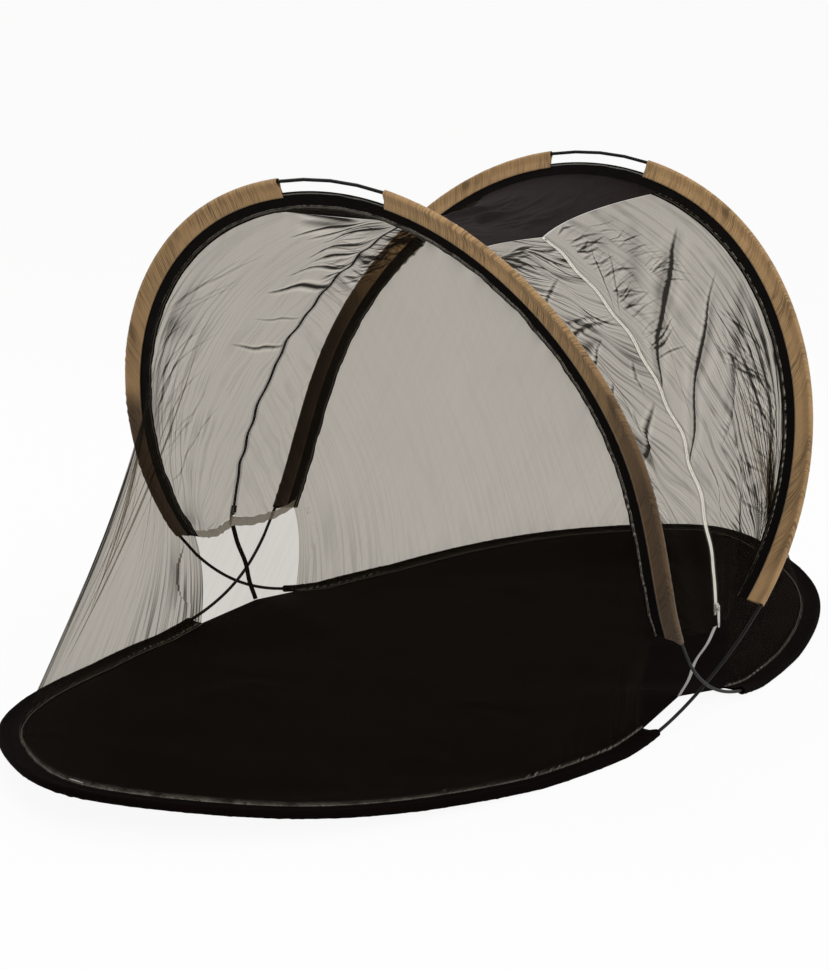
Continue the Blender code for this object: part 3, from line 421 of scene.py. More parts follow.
class Finish:
    """Builds one Principled material node by node."""

    def __init__(self, name, colour, roughness, metallic=0.0):
        self.material = bpy.data.materials.new(name)
        self.material.use_nodes = True
        self.tree = self.material.node_tree
        self.nodes = self.tree.nodes
        self.shader = self.nodes["Principled BSDF"]
        self.shader.inputs["Base Color"].default_value = (*colour, 1.0)
        self.shader.inputs["Roughness"].default_value = roughness
        self.shader.inputs["Metallic"].default_value = metallic
        self.places = self.nodes.new("ShaderNodeTexCoord")

    def link(self, source, target):
        self.tree.links.new(source, target)

    def coordinates(self, kind, scale=EVEN, turn=0.0):
        return self.scaled(self.places.outputs[kind], scale, turn=turn)

    def noise(self, vector, scale, detail=3.0, roughness=0.55):
        node = self.nodes.new("ShaderNodeTexNoise")
        node.inputs["Scale"].default_value = scale
        node.inputs["Detail"].default_value = detail
        node.inputs["Roughness"].default_value = roughness
        self.link(vector, node.inputs["Vector"])
        return node.outputs["Fac"]

    def wave(self, vector, pitch, direction):
        """Straight even lines, one for each pitch."""
        node = self.nodes.new("ShaderNodeTexWave")
        node.bands_direction = direction
        node.inputs["Scale"].default_value = LINES_PER_METRE / pitch
        node.inputs["Detail"].default_value = 0.0
        self.link(vector, node.inputs["Vector"])
        return node.outputs["Fac"]

    def math(self, operation, *values, clamp=False):
        node = self.nodes.new("ShaderNodeMath")
        node.operation = operation
        node.use_clamp = clamp
        for socket, value in zip(node.inputs, values):
            if isinstance(value, (int, float)):
                socket.default_value = value
            else:
                self.link(value, socket)
        return node.outputs[0]

    def add(self, first, second):
        return self.math("ADD", first, second)

    def less(self, first, second, clamp=False):
        return self.math("SUBTRACT", first, second, clamp=clamp)

    def times(self, first, second, clamp=False):
        return self.math("MULTIPLY", first, second, clamp=clamp)

    def feed(self, source, socket):
        self.link(source, self.shader.inputs[socket])

    def attribute(self, name, output="Fac"):
        node = self.nodes.new("ShaderNodeAttribute")
        node.attribute_name = name
        return node.outputs[output]

    def scaled(self, vector, scale, shift=(0.0, 0.0, 0.0), turn=0.0):
        mapping = self.nodes.new("ShaderNodeMapping")
        mapping.inputs["Scale"].default_value = scale
        mapping.inputs["Location"].default_value = shift
        mapping.inputs["Rotation"].default_value[2] = turn
        self.link(vector, mapping.inputs["Vector"])
        return mapping.outputs["Vector"]

    def ridges(self, vector, thin, detail=1.0):
        """Thin lines along the middle value of a stretched noise."""
        value = self.noise(vector, 1.0, detail, 0.5)
        away = self.math("ABSOLUTE", self.less(value, 0.5))
        return self.less(1.0, self.times(away, thin), clamp=True)

    def stitches(self, place, width, fray):
        """Row of stitches at a distance from a piece's edge, 0 to 1."""
        wobble = self.noise(self.coordinates("UV", (40.0, 40.0, 1.0)), 1.0, 2.0)
        edge = self.add(self.attribute("edge"), self.spread(wobble, -fray, fray))
        away = self.math("ABSOLUTE", self.less(edge, place))
        line = self.less(1.0, self.math("DIVIDE", away, width), clamp=True)
        dashes = self.wave(self.coordinates("UV"), STITCH_PITCH, "Y")
        return self.times(line, self.spread(dashes, 0.35, 1.0))

    def spread(self, value, low, high):
        node = self.nodes.new("ShaderNodeMapRange")
        node.inputs["To Min"].default_value = low
        node.inputs["To Max"].default_value = high
        self.link(value, node.inputs["Value"])
        return node.outputs["Result"]

    def mix(self, share, first, second):
        node = self.nodes.new("ShaderNodeMix")
        node.data_type = "RGBA"
        for index, value in ((6, first), (7, second)):
            if isinstance(value, tuple):
                node.inputs[index].default_value = (*value, 1.0)
            else:
                self.link(value, node.inputs[index])
        self.link(share, node.inputs[0])
        return node.outputs[2]

    def bump(self, height, distance):
        node = self.nodes.new("ShaderNodeBump")
        node.inputs["Distance"].default_value = distance
        node.inputs["Strength"].default_value = 1.0
        self.link(height, node.inputs["Height"])
        self.feed(node.outputs["Normal"], "Normal")


def blend_shaders(tree, share, first, second, output):
    blend = tree.nodes.new("ShaderNodeMixShader")
    for source, socket in zip((share, first, second), blend.inputs):
        tree.links.new(source, socket)
    tree.links.new(blend.outputs[0], tree.nodes[output].inputs["Surface"])


def straight_rays(tree):
    """1 where the camera looks straight at something or through something clear."""
    path = tree.nodes.new("ShaderNodeLightPath")
    most = tree.nodes.new("ShaderNodeMath")
    most.operation = "MAXIMUM"
    tree.links.new(path.outputs["Is Camera Ray"], most.inputs[0])
    tree.links.new(path.outputs["Is Transmission Ray"], most.inputs[1])
    return most.outputs[0]


def cover_with(item, material):
    item.data.materials.clear()
    item.data.materials.append(material)


def tinted(colour, factor):
    return tuple(min(channel * factor, 1.0) for channel in colour)


def woven(finish, thread, bump):
    """Plain weave in real metres: two crossing sets of threads."""
    vector = finish.coordinates("UV")
    warp, weft = finish.wave(vector, thread, "X"), finish.wave(vector, thread, "Y")
    weave = finish.times(warp, weft)
    slubs = finish.noise(finish.coordinates("UV", (30.0, 400.0, 1.0)), 1.0, 2.0)
    finish.bump(finish.add(weave, finish.times(slubs, 0.6)), bump)
    return weave, slubs


def cloth_finish(name, colour, roughness, thread=0.0009, bump=0.00012, sheen=0.0, vary=0.22, shine=0.2,
                 painted_crease_shade=0.0, stitch=None, tape_edge_and_painted_shade=None, weave_open=None):
    """Woven polyester with uneven dye, painted crease shade along its wrinkles and rows of stitches, darker
    where its tone is marked: painted shade on the sleeves' legs, and the zipper tapes' own darker outer
    edge.
    """
    finish = Finish(name, colour, roughness)
    weave, slubs = woven(finish, thread, bump)
    blotch = finish.noise(finish.coordinates("Object"), 14.0, 4.0)
    mixed = finish.add(finish.times(blotch, 0.6), finish.times(slubs, 0.4))
    mixed = finish.add(mixed, finish.times(weave, 0.25))
    deep, light = tinted(colour, 1.0 - vary), tinted(colour, 1.0 + vary)
    shade = finish.mix(finish.spread(mixed, 0.0, 1.0), deep, light)
    # Painted crease shade: thin wavy lines, patchy over the cloth, darken it towards 0.28 of its colour, as
    # shade in its wrinkles.
    if painted_crease_shade:
        lines = finish.ridges(finish.coordinates("UV", (14.0, 210.0, 1.0), 0.02), 7.0, 0.0)
        patches = finish.noise(finish.coordinates("UV", (9.0, 9.0, 1.0)), 1.0, 2.0)
        lines = finish.times(lines, finish.spread(patches, -1.3, 2.9), clamp=True)
        shade = finish.mix(finish.times(lines, painted_crease_shade), shade, tinted(colour, 0.28))
    # The marked tone darkens the sleeves' legs with painted shade. On the zipper tapes it gives their own
    # darker, open outer edge.
    if tape_edge_and_painted_shade is not None:
        shade = finish.mix(finish.attribute("tape_edge_and_painted_shade"), shade, tape_edge_and_painted_shade)
    if weave_open is not None:
        finish.feed(finish.spread(finish.attribute("tape_edge_and_painted_shade"), 1.0, weave_open), "Alpha")
    if stitch is not None:
        place, width, thread_colour, fray = stitch
        shade = finish.mix(finish.stitches(place, width, fray), shade, thread_colour)
    finish.feed(shade, "Base Color")
    finish.feed(finish.spread(blotch, roughness - 0.08, roughness + 0.08), "Roughness")
    finish.shader.inputs["Specular IOR Level"].default_value = shine
    finish.shader.inputs["Sheen Weight"].default_value = sheen
    finish.shader.inputs["Sheen Roughness"].default_value = 0.45
    return finish.material


# How finely the net's small folds lie across and along their fan, and how much of the light they stop
FINE_FOLDS, BROAD_FOLDS = (150.0, 2.6, 1.0), (52.0, 2.2, 1.0)
FOLD_COVER, LEAST_COVER, MOST_COVER = 0.72, 0.06, 0.97


def net_finish(name, colour, cover):
    """Fine mosquito mesh: dark threads over holes, denser where folds gather it."""
    finish = Finish(name, colour, 0.9)
    finish.shader.inputs["Specular IOR Level"].default_value = 0.05
    vector = finish.coordinates("UV")
    warp, weft = finish.wave(vector, MESH_PITCH, "X"), finish.wave(vector, MESH_PITCH, "Y")
    threads = finish.math("MAXIMUM", warp, weft)
    fan = finish.attribute("fan", "Vector")
    pucker = finish.attribute("pucker")
    fine = finish.ridges(finish.scaled(fan, FINE_FOLDS), 13.0, 0.0)
    broad = finish.ridges(finish.scaled(fan, BROAD_FOLDS, (3.1, 1.7, 0.0)), 12.0, 0.0)
    lit = finish.ridges(finish.scaled(fan, FINE_FOLDS, (0.16, 0.0, 0.0)), 13.0, 0.0)
    lines = finish.add(finish.times(fine, 0.55), finish.times(broad, 0.75))
    lines = finish.less(lines, finish.times(lit, 0.40))
    fold = finish.add(finish.attribute("gather"), finish.times(lines, pucker))
    cloud = finish.noise(finish.coordinates("Object"), 5.0, 3.0)
    share = finish.add(finish.spread(threads, cover - 0.09, cover + 0.045), finish.times(fold, FOLD_COVER))
    share = finish.add(share, finish.spread(cloud, -0.03, 0.03))
    ragged = finish.ridges(finish.coordinates("UV", (160.0, 160.0, 1.0)), 4.0)
    seam = finish.times(finish.attribute("seam"), finish.spread(ragged, 0.1, 1.2), clamp=True)
    share = finish.math("MAXIMUM", finish.add(share, finish.times(seam, 0.4)), LEAST_COVER)
    share = finish.math("MINIMUM", share, MOST_COVER)
    finish.feed(finish.mix(seam, colour, (0.34, 0.315, 0.27)), "Base Color")
    clear = finish.nodes.new("ShaderNodeBsdfTransparent")
    clear.inputs["Color"].default_value = (1.0, 0.965, 0.910, 1.0)
    blend_shaders(finish.tree, share, clear.outputs[0], finish.shader.outputs[0], "Material Output")
    return finish.material


def metal_finish(name, colour, roughness, wear):
    finish = Finish(name, colour, roughness, 1.0)
    scuff = finish.noise(finish.coordinates("Object"), 260.0, 4.0)
    finish.feed(finish.spread(scuff, roughness - wear, roughness + wear), "Roughness")
    finish.feed(finish.mix(scuff, tinted(colour, 0.8), tinted(colour, 1.1)), "Base Color")
    finish.bump(scuff, 0.00003)
    return finish.material


def wire_finish(name):
    """Blackened spring steel under thin lacquer, rubbed along its length."""
    finish = Finish(name, (0.006, 0.006, 0.006), 0.4)
    rub = finish.noise(finish.coordinates("Object", (40.0, 40.0, 40.0)), 4.0, 5.0)
    finish.feed(finish.spread(rub, 0.3, 0.5), "Roughness")
    finish.feed(finish.mix(rub, (0.004, 0.004, 0.004), (0.012, 0.011, 0.011)), "Base Color")
    finish.shader.inputs["Specular IOR Level"].default_value = 0.12
    return finish.material


def cloth_settings():
    """Settings of each woven cloth. A stitch is its row's place, width, thread colour and fray."""
    shades = colours()
    black, pale, floor = tuple(shades.black), tuple(shades.pale), tuple(shades.floor)
    dark, frayed = (0.006, 0.005, 0.0045), (0.30, 0.28, 0.245)
    ribbed = {"thread": 0.0012, "bump": 0.0003}
    light_tape = {"sheen": 0.1, "vary": 0.12, **ribbed}
    dark_tape = {"vary": 0.3, "shine": 0.08, **ribbed}
    ground_cloth = {"colour": floor, "roughness": 0.85, "thread": 0.0010, "vary": 0.3, "shine": 0.03}
    return {
        "tan sleeve cloth": {"colour": tuple(shades.tan), "roughness": 0.7, "bump": 0.0002, "sheen": 0.15,
                             "vary": 0.16, "painted_crease_shade": 0.8, "tape_edge_and_painted_shade": (0.024, 0.011, 0.005),
                             "stitch": (0.0025, 0.0007, (0.50, 0.36, 0.20), 0.0002)},
        "black binding": {"colour": black, "roughness": 0.8, "thread": 0.0011, "bump": 0.0002, "vary": 0.35,
                          "shine": 0.08, "painted_crease_shade": 0.4, "stitch": (0.0040, 0.0014, frayed, 0.0018)},
        "roof cloth": {"colour": tuple(shades.roof), "roughness": 0.75, "thread": 0.0008, "vary": 0.2,
                       "shine": 0.09, "painted_crease_shade": 0.5},
        "floor cloth": ground_cloth,
        "hem cloth": {"painted_crease_shade": 0.3, "stitch": (0.0040, 0.0016, frayed, 0.0020), **ground_cloth},
        "pale coil": {"colour": pale, "roughness": 0.6, **light_tape},
        "dark coil": {"colour": dark, "roughness": 0.6, "vary": 0.3, "shine": 0.1, **ribbed},
        "pale tape": {"colour": pale, "roughness": 0.75, "tape_edge_and_painted_shade": (0.05, 0.04, 0.03), "weave_open": 0.3,
                      **light_tape},
        "dark tape": {"colour": dark, "roughness": 0.8, "tape_edge_and_painted_shade": (0.012, 0.010, 0.007), "weave_open": 0.3,
                      **dark_tape},
        "dark strap": {"colour": dark, "roughness": 0.8, **dark_tape},
        "pale cord": {"colour": (0.42, 0.41, 0.39), "roughness": 0.7, **light_tape},
    }


def finish_named(name):
    """Each finish is made once and shared by the pieces that have it."""
    found = bpy.data.materials.get(name)
    if found is not None:
        return found
    shades = colours()
    nets = {"net cloth": (tuple(shades.net), shades.net_cover), "dark hem": (tuple(shades.net), 0.62),
            "pale hem": ((0.40, 0.36, 0.29), 0.85)}
    if name in nets:
        return net_finish(name, *nets[name])
    if name == "spring wire":
        return wire_finish(name)
    if name == "zipper metal":
        return metal_finish(name, tuple(shades.metal), 0.28, 0.1)
    return cloth_finish(name, **cloth_settings()[name])


# Seams shared by the pieces

# The zipper's length, how far it wanders and lifts, and where along it that starts and stops
ZIPPER_LENGTH, ZIPPER_WANDER, ZIPPER_LIFT = 0.74, 0.0034, 0.0016
WANDER_START, WANDER_STOP, WANDER_FADE = 0.08, 0.93, 0.10
# How far a panel's sewn edge lies off the middle of the binding
BAND_FACE = 0.0011


def zipper_arc(side):
    """Centre and radius of the zipper's arc, and its end angles from +Z."""
    top, bottom = np.array(ZIPPER_TOP), np.array(ZIPPER_BOTTOM)
    chord = bottom - top
    half = np.linalg.norm(chord) / 2
    radius = (half ** 2 + ZIPPER_BULGE ** 2) / (2 * ZIPPER_BULGE)
    outward = unit(np.array([-chord[1], chord[0]]))
    centre = (top + bottom) / 2 - outward * (radius - ZIPPER_BULGE)
    angles = [math.atan2(*(place - centre)) for place in (top, bottom)]
    return np.array([0.0, side * centre[0], centre[1]]), radius, angles


def zipper_slack(shares):
    """How free the zipper is to wander, none where its slider rests."""
    return smoothstep(shares / WANDER_START) * smoothstep((WANDER_STOP - shares) / WANDER_FADE)


def zipper_line(side, reach, shares, rise=0.0):
    """Places beside the zipper's middle, at shares of its length from the top."""
    centre, radius, (top, bottom) = zipper_arc(side)
    angles = top + (bottom - top) * shares
    wander = soft_noise(np.random.default_rng(11 if side == NEAR else 12), 3, 0.11, 0.26)
    wave = soft_noise(np.random.default_rng(21 if side == NEAR else 22), 3, 0.05, 0.12)
    slack = zipper_slack(shares)
    lift = ZIPPER_LIFT * wave(shares * ZIPPER_LENGTH) * slack
    places = np.zeros((len(shares), 3))
    places[:, 0] = reach + ZIPPER_WANDER * wander(shares * ZIPPER_LENGTH) * slack
    places[:, 1] = side * (radius + rise + lift) * np.sin(angles)
    places[:, 2] = (radius + rise + lift) * np.cos(angles)
    return centre + places


def band_edge():
    return sizes().sleeve_width + sizes().band_width


def band_ripple(end):
    """Pucker of the binding's free edge along a hoop."""
    rng = np.random.default_rng(31 if end == LEFT else 32)
    coarse, fine = soft_noise(rng, 4, 0.045, 0.12), soft_noise(rng, 4, 0.012, 0.03)
    return lambda lengths: 0.0011 * coarse(lengths) + 0.0005 * fine(lengths)


def band_line(hoop, lengths, face):
    """Places on the binding where a panel is sewn, on its centre or its end face."""
    spot = band_edge() - LAP
    ripple = band_ripple(hoop.end)(lengths) * (spot - sizes().sleeve_width) / sizes().band_width
    return hoop.place(lengths, np.full_like(lengths, spot), ripple + face * BAND_FACE)


def drawn_edge(start, stop, draw, shares):
    shares = shares[:, None]
    return start + (stop - start) * shares + np.array(draw) * (4 * shares * (1 - shares))


def roof_edge(hoop, side, shares, below=0.0):
    """Half of the roof's side edge, from the arch to the zipper."""
    down = unit(np.array([0.0, side, -1.0])) * below
    corner = band_line(hoop, np.array([hoop.roof_mark(side)]), 1.0)[0]
    zipper = zipper_line(side, 0.0, np.array([0.0]))[0]
    return drawn_edge(corner + down, zipper + down, (0.0, -side * 0.034, -0.001), shares)


def side_edge(hoop, side, mark, shares):
    """Half of the side panel's lower edge, from the arch to the zipper."""
    width = 0.0 if mark == "net_end" else sizes().side_hem
    corner = band_line(hoop, np.array([-side * hoop.marks[mark]]), 1.0)[0]
    zipper = zipper_line(side, 0.0, np.array([1.0]))[0]
    down = np.array([0.0, 0.0, -1.0])
    edge = drawn_edge(corner, zipper + down * width, down * 0.012, shares)
    flutter = soft_noise(np.random.default_rng(41), 4, 0.03, 0.09)
    hold = np.sin(np.pi * np.clip(shares, 0.0, 1.0))
    edge[:, 1] += 0.0035 * flutter(shares * 0.2 + hoop.end) * hold
    edge[:, 2] += 0.0012 * flutter(shares * 0.2 + 3.0 + hoop.end) * hold
    return edge


# Net panels

# Main folds of each side panel: places down its length, its width and height in metres, and its darkness.
# A place is the share of the panel's width from the band, then the share of its height from the roof.
SIDE_FOLDS = {
    (RIGHT, NEAR): (
        (((0.14, 0.12), (0.45, 0.24), (0.70, 0.32), (0.94, 0.45)), 0.0042, 0.004, 1.10),
        (((0.14, 0.13), (0.50, 0.25), (0.94, 0.42)), 0.0150, 0.004, 0.55),
        (((0.14, 0.26), (0.40, 0.37), (0.62, 0.49), (0.84, 0.63)), 0.0034, 0.004, 1.10),
        (((0.20, 0.30), (0.50, 0.43), (0.80, 0.59)), 0.0140, 0.003, 0.42),
        (((0.05, 0.30), (0.20, 0.42), (0.40, 0.55)), 0.0120, 0.003, 0.34),
        (((0.30, 0.06), (0.55, 0.16), (0.80, 0.24)), 0.0160, 0.002, 0.22),
        (((0.25, 0.37), (0.30, 0.50), (0.42, 0.60)), 0.0050, 0.004, 0.40),
        (((0.65, 0.53), (0.50, 0.65), (0.45, 0.73)), 0.0020, 0.002, 0.60),
        (((0.50, 0.60), (0.30, 0.72), (0.03, 0.84)), 0.0018, 0.002, 0.45),
        (((0.50, 0.51), (0.35, 0.64), (0.02, 0.86)), 0.0018, 0.002, 0.45),
        (((0.14, 0.52), (0.02, 0.72)), 0.0022, 0.002, 0.55),
        (((0.20, 0.56), (0.02, 0.78)), 0.0022, 0.002, 0.60),
        (((0.22, 0.48), (0.05, 0.76)), 0.0018, 0.002, 0.55),
        (((0.73, 0.08), (0.82, 0.15), (0.93, 0.22)), 0.0022, 0.003, 0.80),
        (((0.66, 0.11), (0.80, 0.20), (0.92, 0.24)), 0.0024, 0.003, 0.50),
    ),
    (LEFT, NEAR): (
        (((0.30, 0.03), (0.45, 0.10), (0.60, 0.14)), 0.0026, 0.003, 0.80),
        (((0.50, 0.02), (0.65, 0.08), (0.70, 0.13)), 0.0022, 0.003, 0.70),
        (((0.05, 0.15), (0.25, 0.18), (0.38, 0.21)), 0.0030, 0.004, 0.90),
        (((0.80, 0.13), (0.45, 0.19), (0.10, 0.26)), 0.0028, 0.003, 0.80),
        (((0.25, 0.24), (0.60, 0.25), (0.92, 0.25)), 0.0026, 0.003, 0.45),
        (((0.02, 0.10), (0.10, 0.40), (0.06, 0.70)), 0.0300, 0.002, 0.22),
        (((0.05, 0.06), (0.50, 0.05), (0.90, 0.04)), 0.0260, 0.002, 0.18),
        (((0.02, 0.29), (0.40, 0.28), (0.92, 0.26)), 0.0034, 0.004, 0.90),
        (((0.05, 0.31), (0.35, 0.32), (0.65, 0.31)), 0.0090, 0.004, 0.55),
        (((0.02, 0.33), (0.20, 0.34), (0.32, 0.37), (0.12, 0.42)), 0.0024, 0.003, 0.70),
        (((0.02, 0.36), (0.18, 0.36), (0.22, 0.39), (0.06, 0.43)), 0.0070, 0.004, 0.80),
        (((0.65, 0.31), (0.35, 0.37), (0.20, 0.42)), 0.0030, 0.003, 0.80),
        (((0.47, 0.41), (0.28, 0.45), (0.12, 0.49)), 0.0034, 0.004, 1.00),
        (((0.80, 0.37), (0.70, 0.42), (0.68, 0.46)), 0.0030, 0.003, 0.55),
        (((0.72, 0.48), (0.50, 0.55), (0.30, 0.60)), 0.0046, 0.005, 0.90),
        (((0.55, 0.48), (0.48, 0.53), (0.40, 0.58)), 0.0060, 0.003, 0.35),
        (((0.30, 0.71), (0.18, 0.75), (0.12, 0.80)), 0.0020, 0.002, 0.60),
        (((0.36, 0.71), (0.35, 0.76), (0.30, 0.80)), 0.0018, 0.002, 0.40),
    ),
    (LEFT, FAR): (
        (((0.15, 0.00), (0.55, 0.01)), 0.0090, 0.003, 1.20),
        (((0.25, 0.04), (0.60, 0.03)), 0.0160, 0.003, 0.70),
        (((0.32, 0.11), (0.45, 0.05), (0.62, 0.01)), 0.0046, 0.003, 1.30),
        (((0.42, 0.11), (0.57, 0.05), (0.80, 0.01)), 0.0046, 0.003, 1.20),
        (((0.52, 0.11), (0.72, 0.07), (0.94, 0.02)), 0.0042, 0.003, 1.20),
        (((0.56, 0.18), (0.75, 0.13), (0.96, 0.07)), 0.0046, 0.003, 1.25),
        (((0.62, 0.20), (0.84, 0.15), (0.97, 0.12)), 0.0036, 0.003, 1.00),
        (((0.54, 0.25), (0.80, 0.20), (0.97, 0.18)), 0.0032, 0.003, 0.90),
        (((0.50, 0.31), (0.72, 0.27), (0.97, 0.24)), 0.0052, 0.003, 1.30),
        (((0.60, 0.06), (0.95, 0.04)), 0.0200, 0.002, 0.40),
        (((0.50, 0.39), (0.66, 0.38), (0.86, 0.35)), 0.0020, 0.002, 0.60),
        (((0.43, 0.47), (0.62, 0.46), (0.82, 0.43)), 0.0030, 0.003, 0.90),
        (((0.02, 0.70), (0.10, 0.60), (0.22, 0.42)), 0.0020, 0.002, 0.55),
        (((0.03, 0.65), (0.09, 0.56), (0.17, 0.41)), 0.0018, 0.002, 0.50),
        (((0.03, 0.75), (0.16, 0.63), (0.28, 0.54)), 0.0016, 0.002, 0.45),
        (((0.03, 0.61), (0.07, 0.50), (0.14, 0.35)), 0.0018, 0.002, 0.45),
        (((0.10, 0.82), (0.27, 0.71), (0.43, 0.62)), 0.0014, 0.001, 0.40),
    ),
    (RIGHT, FAR): (
        (((0.85, 0.28), (0.55, 0.26), (0.28, 0.22)), 0.0034, 0.004, 1.00),
        (((0.80, 0.23), (0.55, 0.20), (0.20, 0.16)), 0.0026, 0.003, 0.80),
        (((0.90, 0.16), (0.60, 0.13), (0.20, 0.09)), 0.0040, 0.004, 0.90),
        (((0.95, 0.10), (0.60, 0.06), (0.20, 0.05)), 0.0070, 0.004, 0.75),
        (((0.95, 0.03), (0.55, 0.02), (0.20, 0.03)), 0.0080, 0.004, 0.85),
        (((0.75, 0.18), (0.45, 0.16), (0.15, 0.14)), 0.0050, 0.003, 0.60),
        (((0.65, 0.05), (0.25, 0.08), (0.15, 0.06)), 0.0040, 0.003, 0.70),
        (((0.85, 0.31), (0.60, 0.30), (0.40, 0.28)), 0.0024, 0.002, 0.40),
        (((0.62, 0.45), (0.38, 0.41), (0.05, 0.34)), 0.0014, 0.001, 0.35),
        (((0.50, 0.67), (0.25, 0.63), (0.05, 0.57)), 0.0014, 0.001, 0.30),
    ),
}

# Where each side panel's fine folds fan out from, in metres across and down it, and how they spread
SIDE_FANS = {
    (LEFT, NEAR): ((-0.06, -0.10), 0.42),
    (RIGHT, NEAR): ((0.02, 0.80), 0.60),
    (LEFT, FAR): ((-0.02, 0.95), 0.80),
    (RIGHT, FAR): ((1.10, -0.10), 0.90),
}


def fan_places(over, down, source, spread):
    """Coordinates that run across and along the folds of a fan."""
    away_x, away_y = over - source[0], down - source[1]
    turn = np.arctan2(away_y, away_x)
    radius = np.hypot(away_x, away_y)
    return np.stack([turn * spread, radius, np.zeros_like(turn)], axis=2)


def pucker_field(end, side, over, down, width, height):
    """How strongly the fine folds show over a side panel, 0 to 1.8."""
    across, drop = over / width, down / height
    cloud = soft_noise(np.random.default_rng(int(71 + 2 * end + side)), 5, 0.06, 0.25)
    patchy = np.clip(0.5 + 0.4 * cloud(over * 1.3 + down * 0.9) * cloud(over - down * 1.1 + 2.0), 0.0, 1.1)
    if (end, side) == (LEFT, NEAR):
        amount = 1.3 * np.exp(-(drop / 0.5) ** 2) + 1.2 * np.exp(-(across / 0.4) ** 2)
    elif (end, side) == (RIGHT, NEAR):
        amount = 1.5 * np.exp(-((across - 0.1) / 0.26) ** 2) * smoothstep((drop - 0.25) / 0.25) + 0.35
    elif (end, side) == (LEFT, FAR):
        amount = 0.5 * np.exp(-(across / 0.25) ** 2) * smoothstep((drop - 0.2) / 0.25) + 0.15
    else:
        amount = 1.5 * np.exp(-(drop / 0.24) ** 2) + 0.4 * np.exp(-(across / 0.2) ** 2) + 0.12
    return np.clip(amount * (0.45 + 0.75 * patchy), 0.0, 1.8)


# Families of small folds where the net is gathered to the roof and the zipper: how many, between which two
# places they start, their direction and its spread in degrees, their length, width, height and darkness
GATHERED_FOLDS = {
    (RIGHT, NEAR): (
        (54, (0.36, 0.01), (0.33, 0.30), 172, 16, 0.10, 0.0017, 0.0012, 0.80),
        (40, (0.27, 0.03), (0.20, 0.22), 176, 14, 0.09, 0.0015, 0.0010, 0.55),
        (40, (0.02, 0.42), (0.02, 0.66), -56, 16, 0.20, 0.0018, 0.0010, 0.60),
    ),
    (LEFT, NEAR): (
        (60, (0.06, 0.02), (0.34, 0.03), 20, 26, 0.12, 0.0022, 0.0015, 0.90),
        (60, (0.03, 0.10), (0.02, 0.34), 12, 30, 0.14, 0.0022, 0.0015, 0.90),
        (50, (0.0, 0.34), (0.0, 0.60), 52, 14, 0.20, 0.0018, 0.0010, 0.80),
        (24, (0.0, 0.16), (0.0, 0.40), 8, 20, 0.12, 0.0080, 0.0020, 0.35),
    ),
    (LEFT, FAR): (
        (40, (0.20, 0.02), (0.36, 0.24), -24, 12, 0.13, 0.0021, 0.0015, 0.85),
        (34, (0.01, 0.30), (0.01, 0.78), -62, 12, 0.20, 0.0015, 0.0010, 0.38),
    ),
    (RIGHT, FAR): (
        (70, (0.40, 0.02), (0.36, 0.20), 182, 20, 0.16, 0.0024, 0.0020, 0.90),
        (40, (0.08, 0.02), (0.06, 0.12), 12, 30, 0.12, 0.0024, 0.0020, 0.90),
        (16, (0.38, 0.03), (0.30, 0.14), 184, 12, 0.18, 0.0090, 0.0020, 0.45),
    ),
}


def gathered_lines(end, side):
    rng = np.random.default_rng(int(101 + 2 * end + side))
    lines = []
    for family in GATHERED_FOLDS[end, side]:
        lines += drag_lines(rng, *family)
    return lines


# How far a net's edge lies inside the closed zipper's edge and below the roof, and the width of its seam
NET_INSET, SEAM_WIDTH = 0.0012, 0.0022


def side_net_grid(hoop, side, rows, columns):
    """Net from the band to the zipper with its folds, gathers and sag, and the marks that they leave."""
    v, u = np.linspace(0.0, 1.0, rows), np.linspace(0.0, 1.0, columns)
    start, stop = hoop.roof_mark(side), -side * hoop.marks["net_end"]
    first = band_line(hoop, start + (stop - start) * v, 1.0)
    last = zipper_line(side, 0.0, v)
    last[:, 0] += hoop.end * (sizes().tape_half - NET_INSET)
    head = roof_edge(hoop, side, u, NET_INSET)
    tail = side_edge(hoop, side, "net_end", u)
    head[:, 0] += u * (last[0, 0] - head[-1, 0])
    tail[:, 0] += u * (last[-1, 0] - tail[-1, 0])
    first[0], last[0], first[-1], last[-1] = head[0], head[-1], tail[0], tail[-1]
    base = coons(first, last, head, tail)
    over, along = grid_lengths(base)
    over = over - over[:, :1]
    width, height = float(over.max()), float(along.max())
    lines = [([(x * width, y * height) for x, y in places], *size)
             for places, *size in SIDE_FOLDS[hoop.end, side]]
    field, gather = fold_field(over, along, lines + gathered_lines(hoop.end, side))
    pucker = pucker_field(hoop.end, side, over, along, width, height)
    source, spread = SIDE_FANS[hoop.end, side]
    fan = fan_places(over, along, source, spread)
    hold = sewn_hold(v, u)
    waves = 0.9 if side == NEAR else 0.6
    turn = 0.0 if hoop.end == LEFT else 1.3
    drag = np.sin(2 * np.pi * (1.6 * u[None] + waves * v[:, None]) + turn) * np.exp(-1.6 * v)[:, None]
    ripple = np.sin(2 * np.pi * (3.2 * u[None] - 0.8 * v[:, None]) + turn)
    fine = soft_noise(np.random.default_rng(int(81 + 2 * hoop.end + side)), 5, 0.008, 0.022)(fan[..., 0])
    sag = 0.020 * np.sin(np.pi * u)[None] * (v * (1 - v))[:, None]
    normals = grid_normals(base, (0.0, side, 0.3))
    push = hold * (0.010 * drag + 0.004 * ripple + field + 0.0016 * fine * np.clip(pucker, 0.0, 1.0)) - sag
    edge = smoothstep(np.minimum(u, 1 - u)[None] / 0.02 + 0 * v[:, None])
    ragged = 0.5 + 0.5 * soft_noise(np.random.default_rng(91), 4, 0.006, 0.03)(along)
    marks = {"gather": np.clip(gather, -0.3, 1.2) * (0.4 + 0.6 * edge), "pucker": pucker, "fan": fan,
             "seam": np.exp(-(over / SEAM_WIDTH) ** 2) * ragged}
    return base + normals * push[..., None], marks


# Where the left end net is drawn tight between arch and ground loop, as a share of its width
EDGE_STRANDS = 0.70


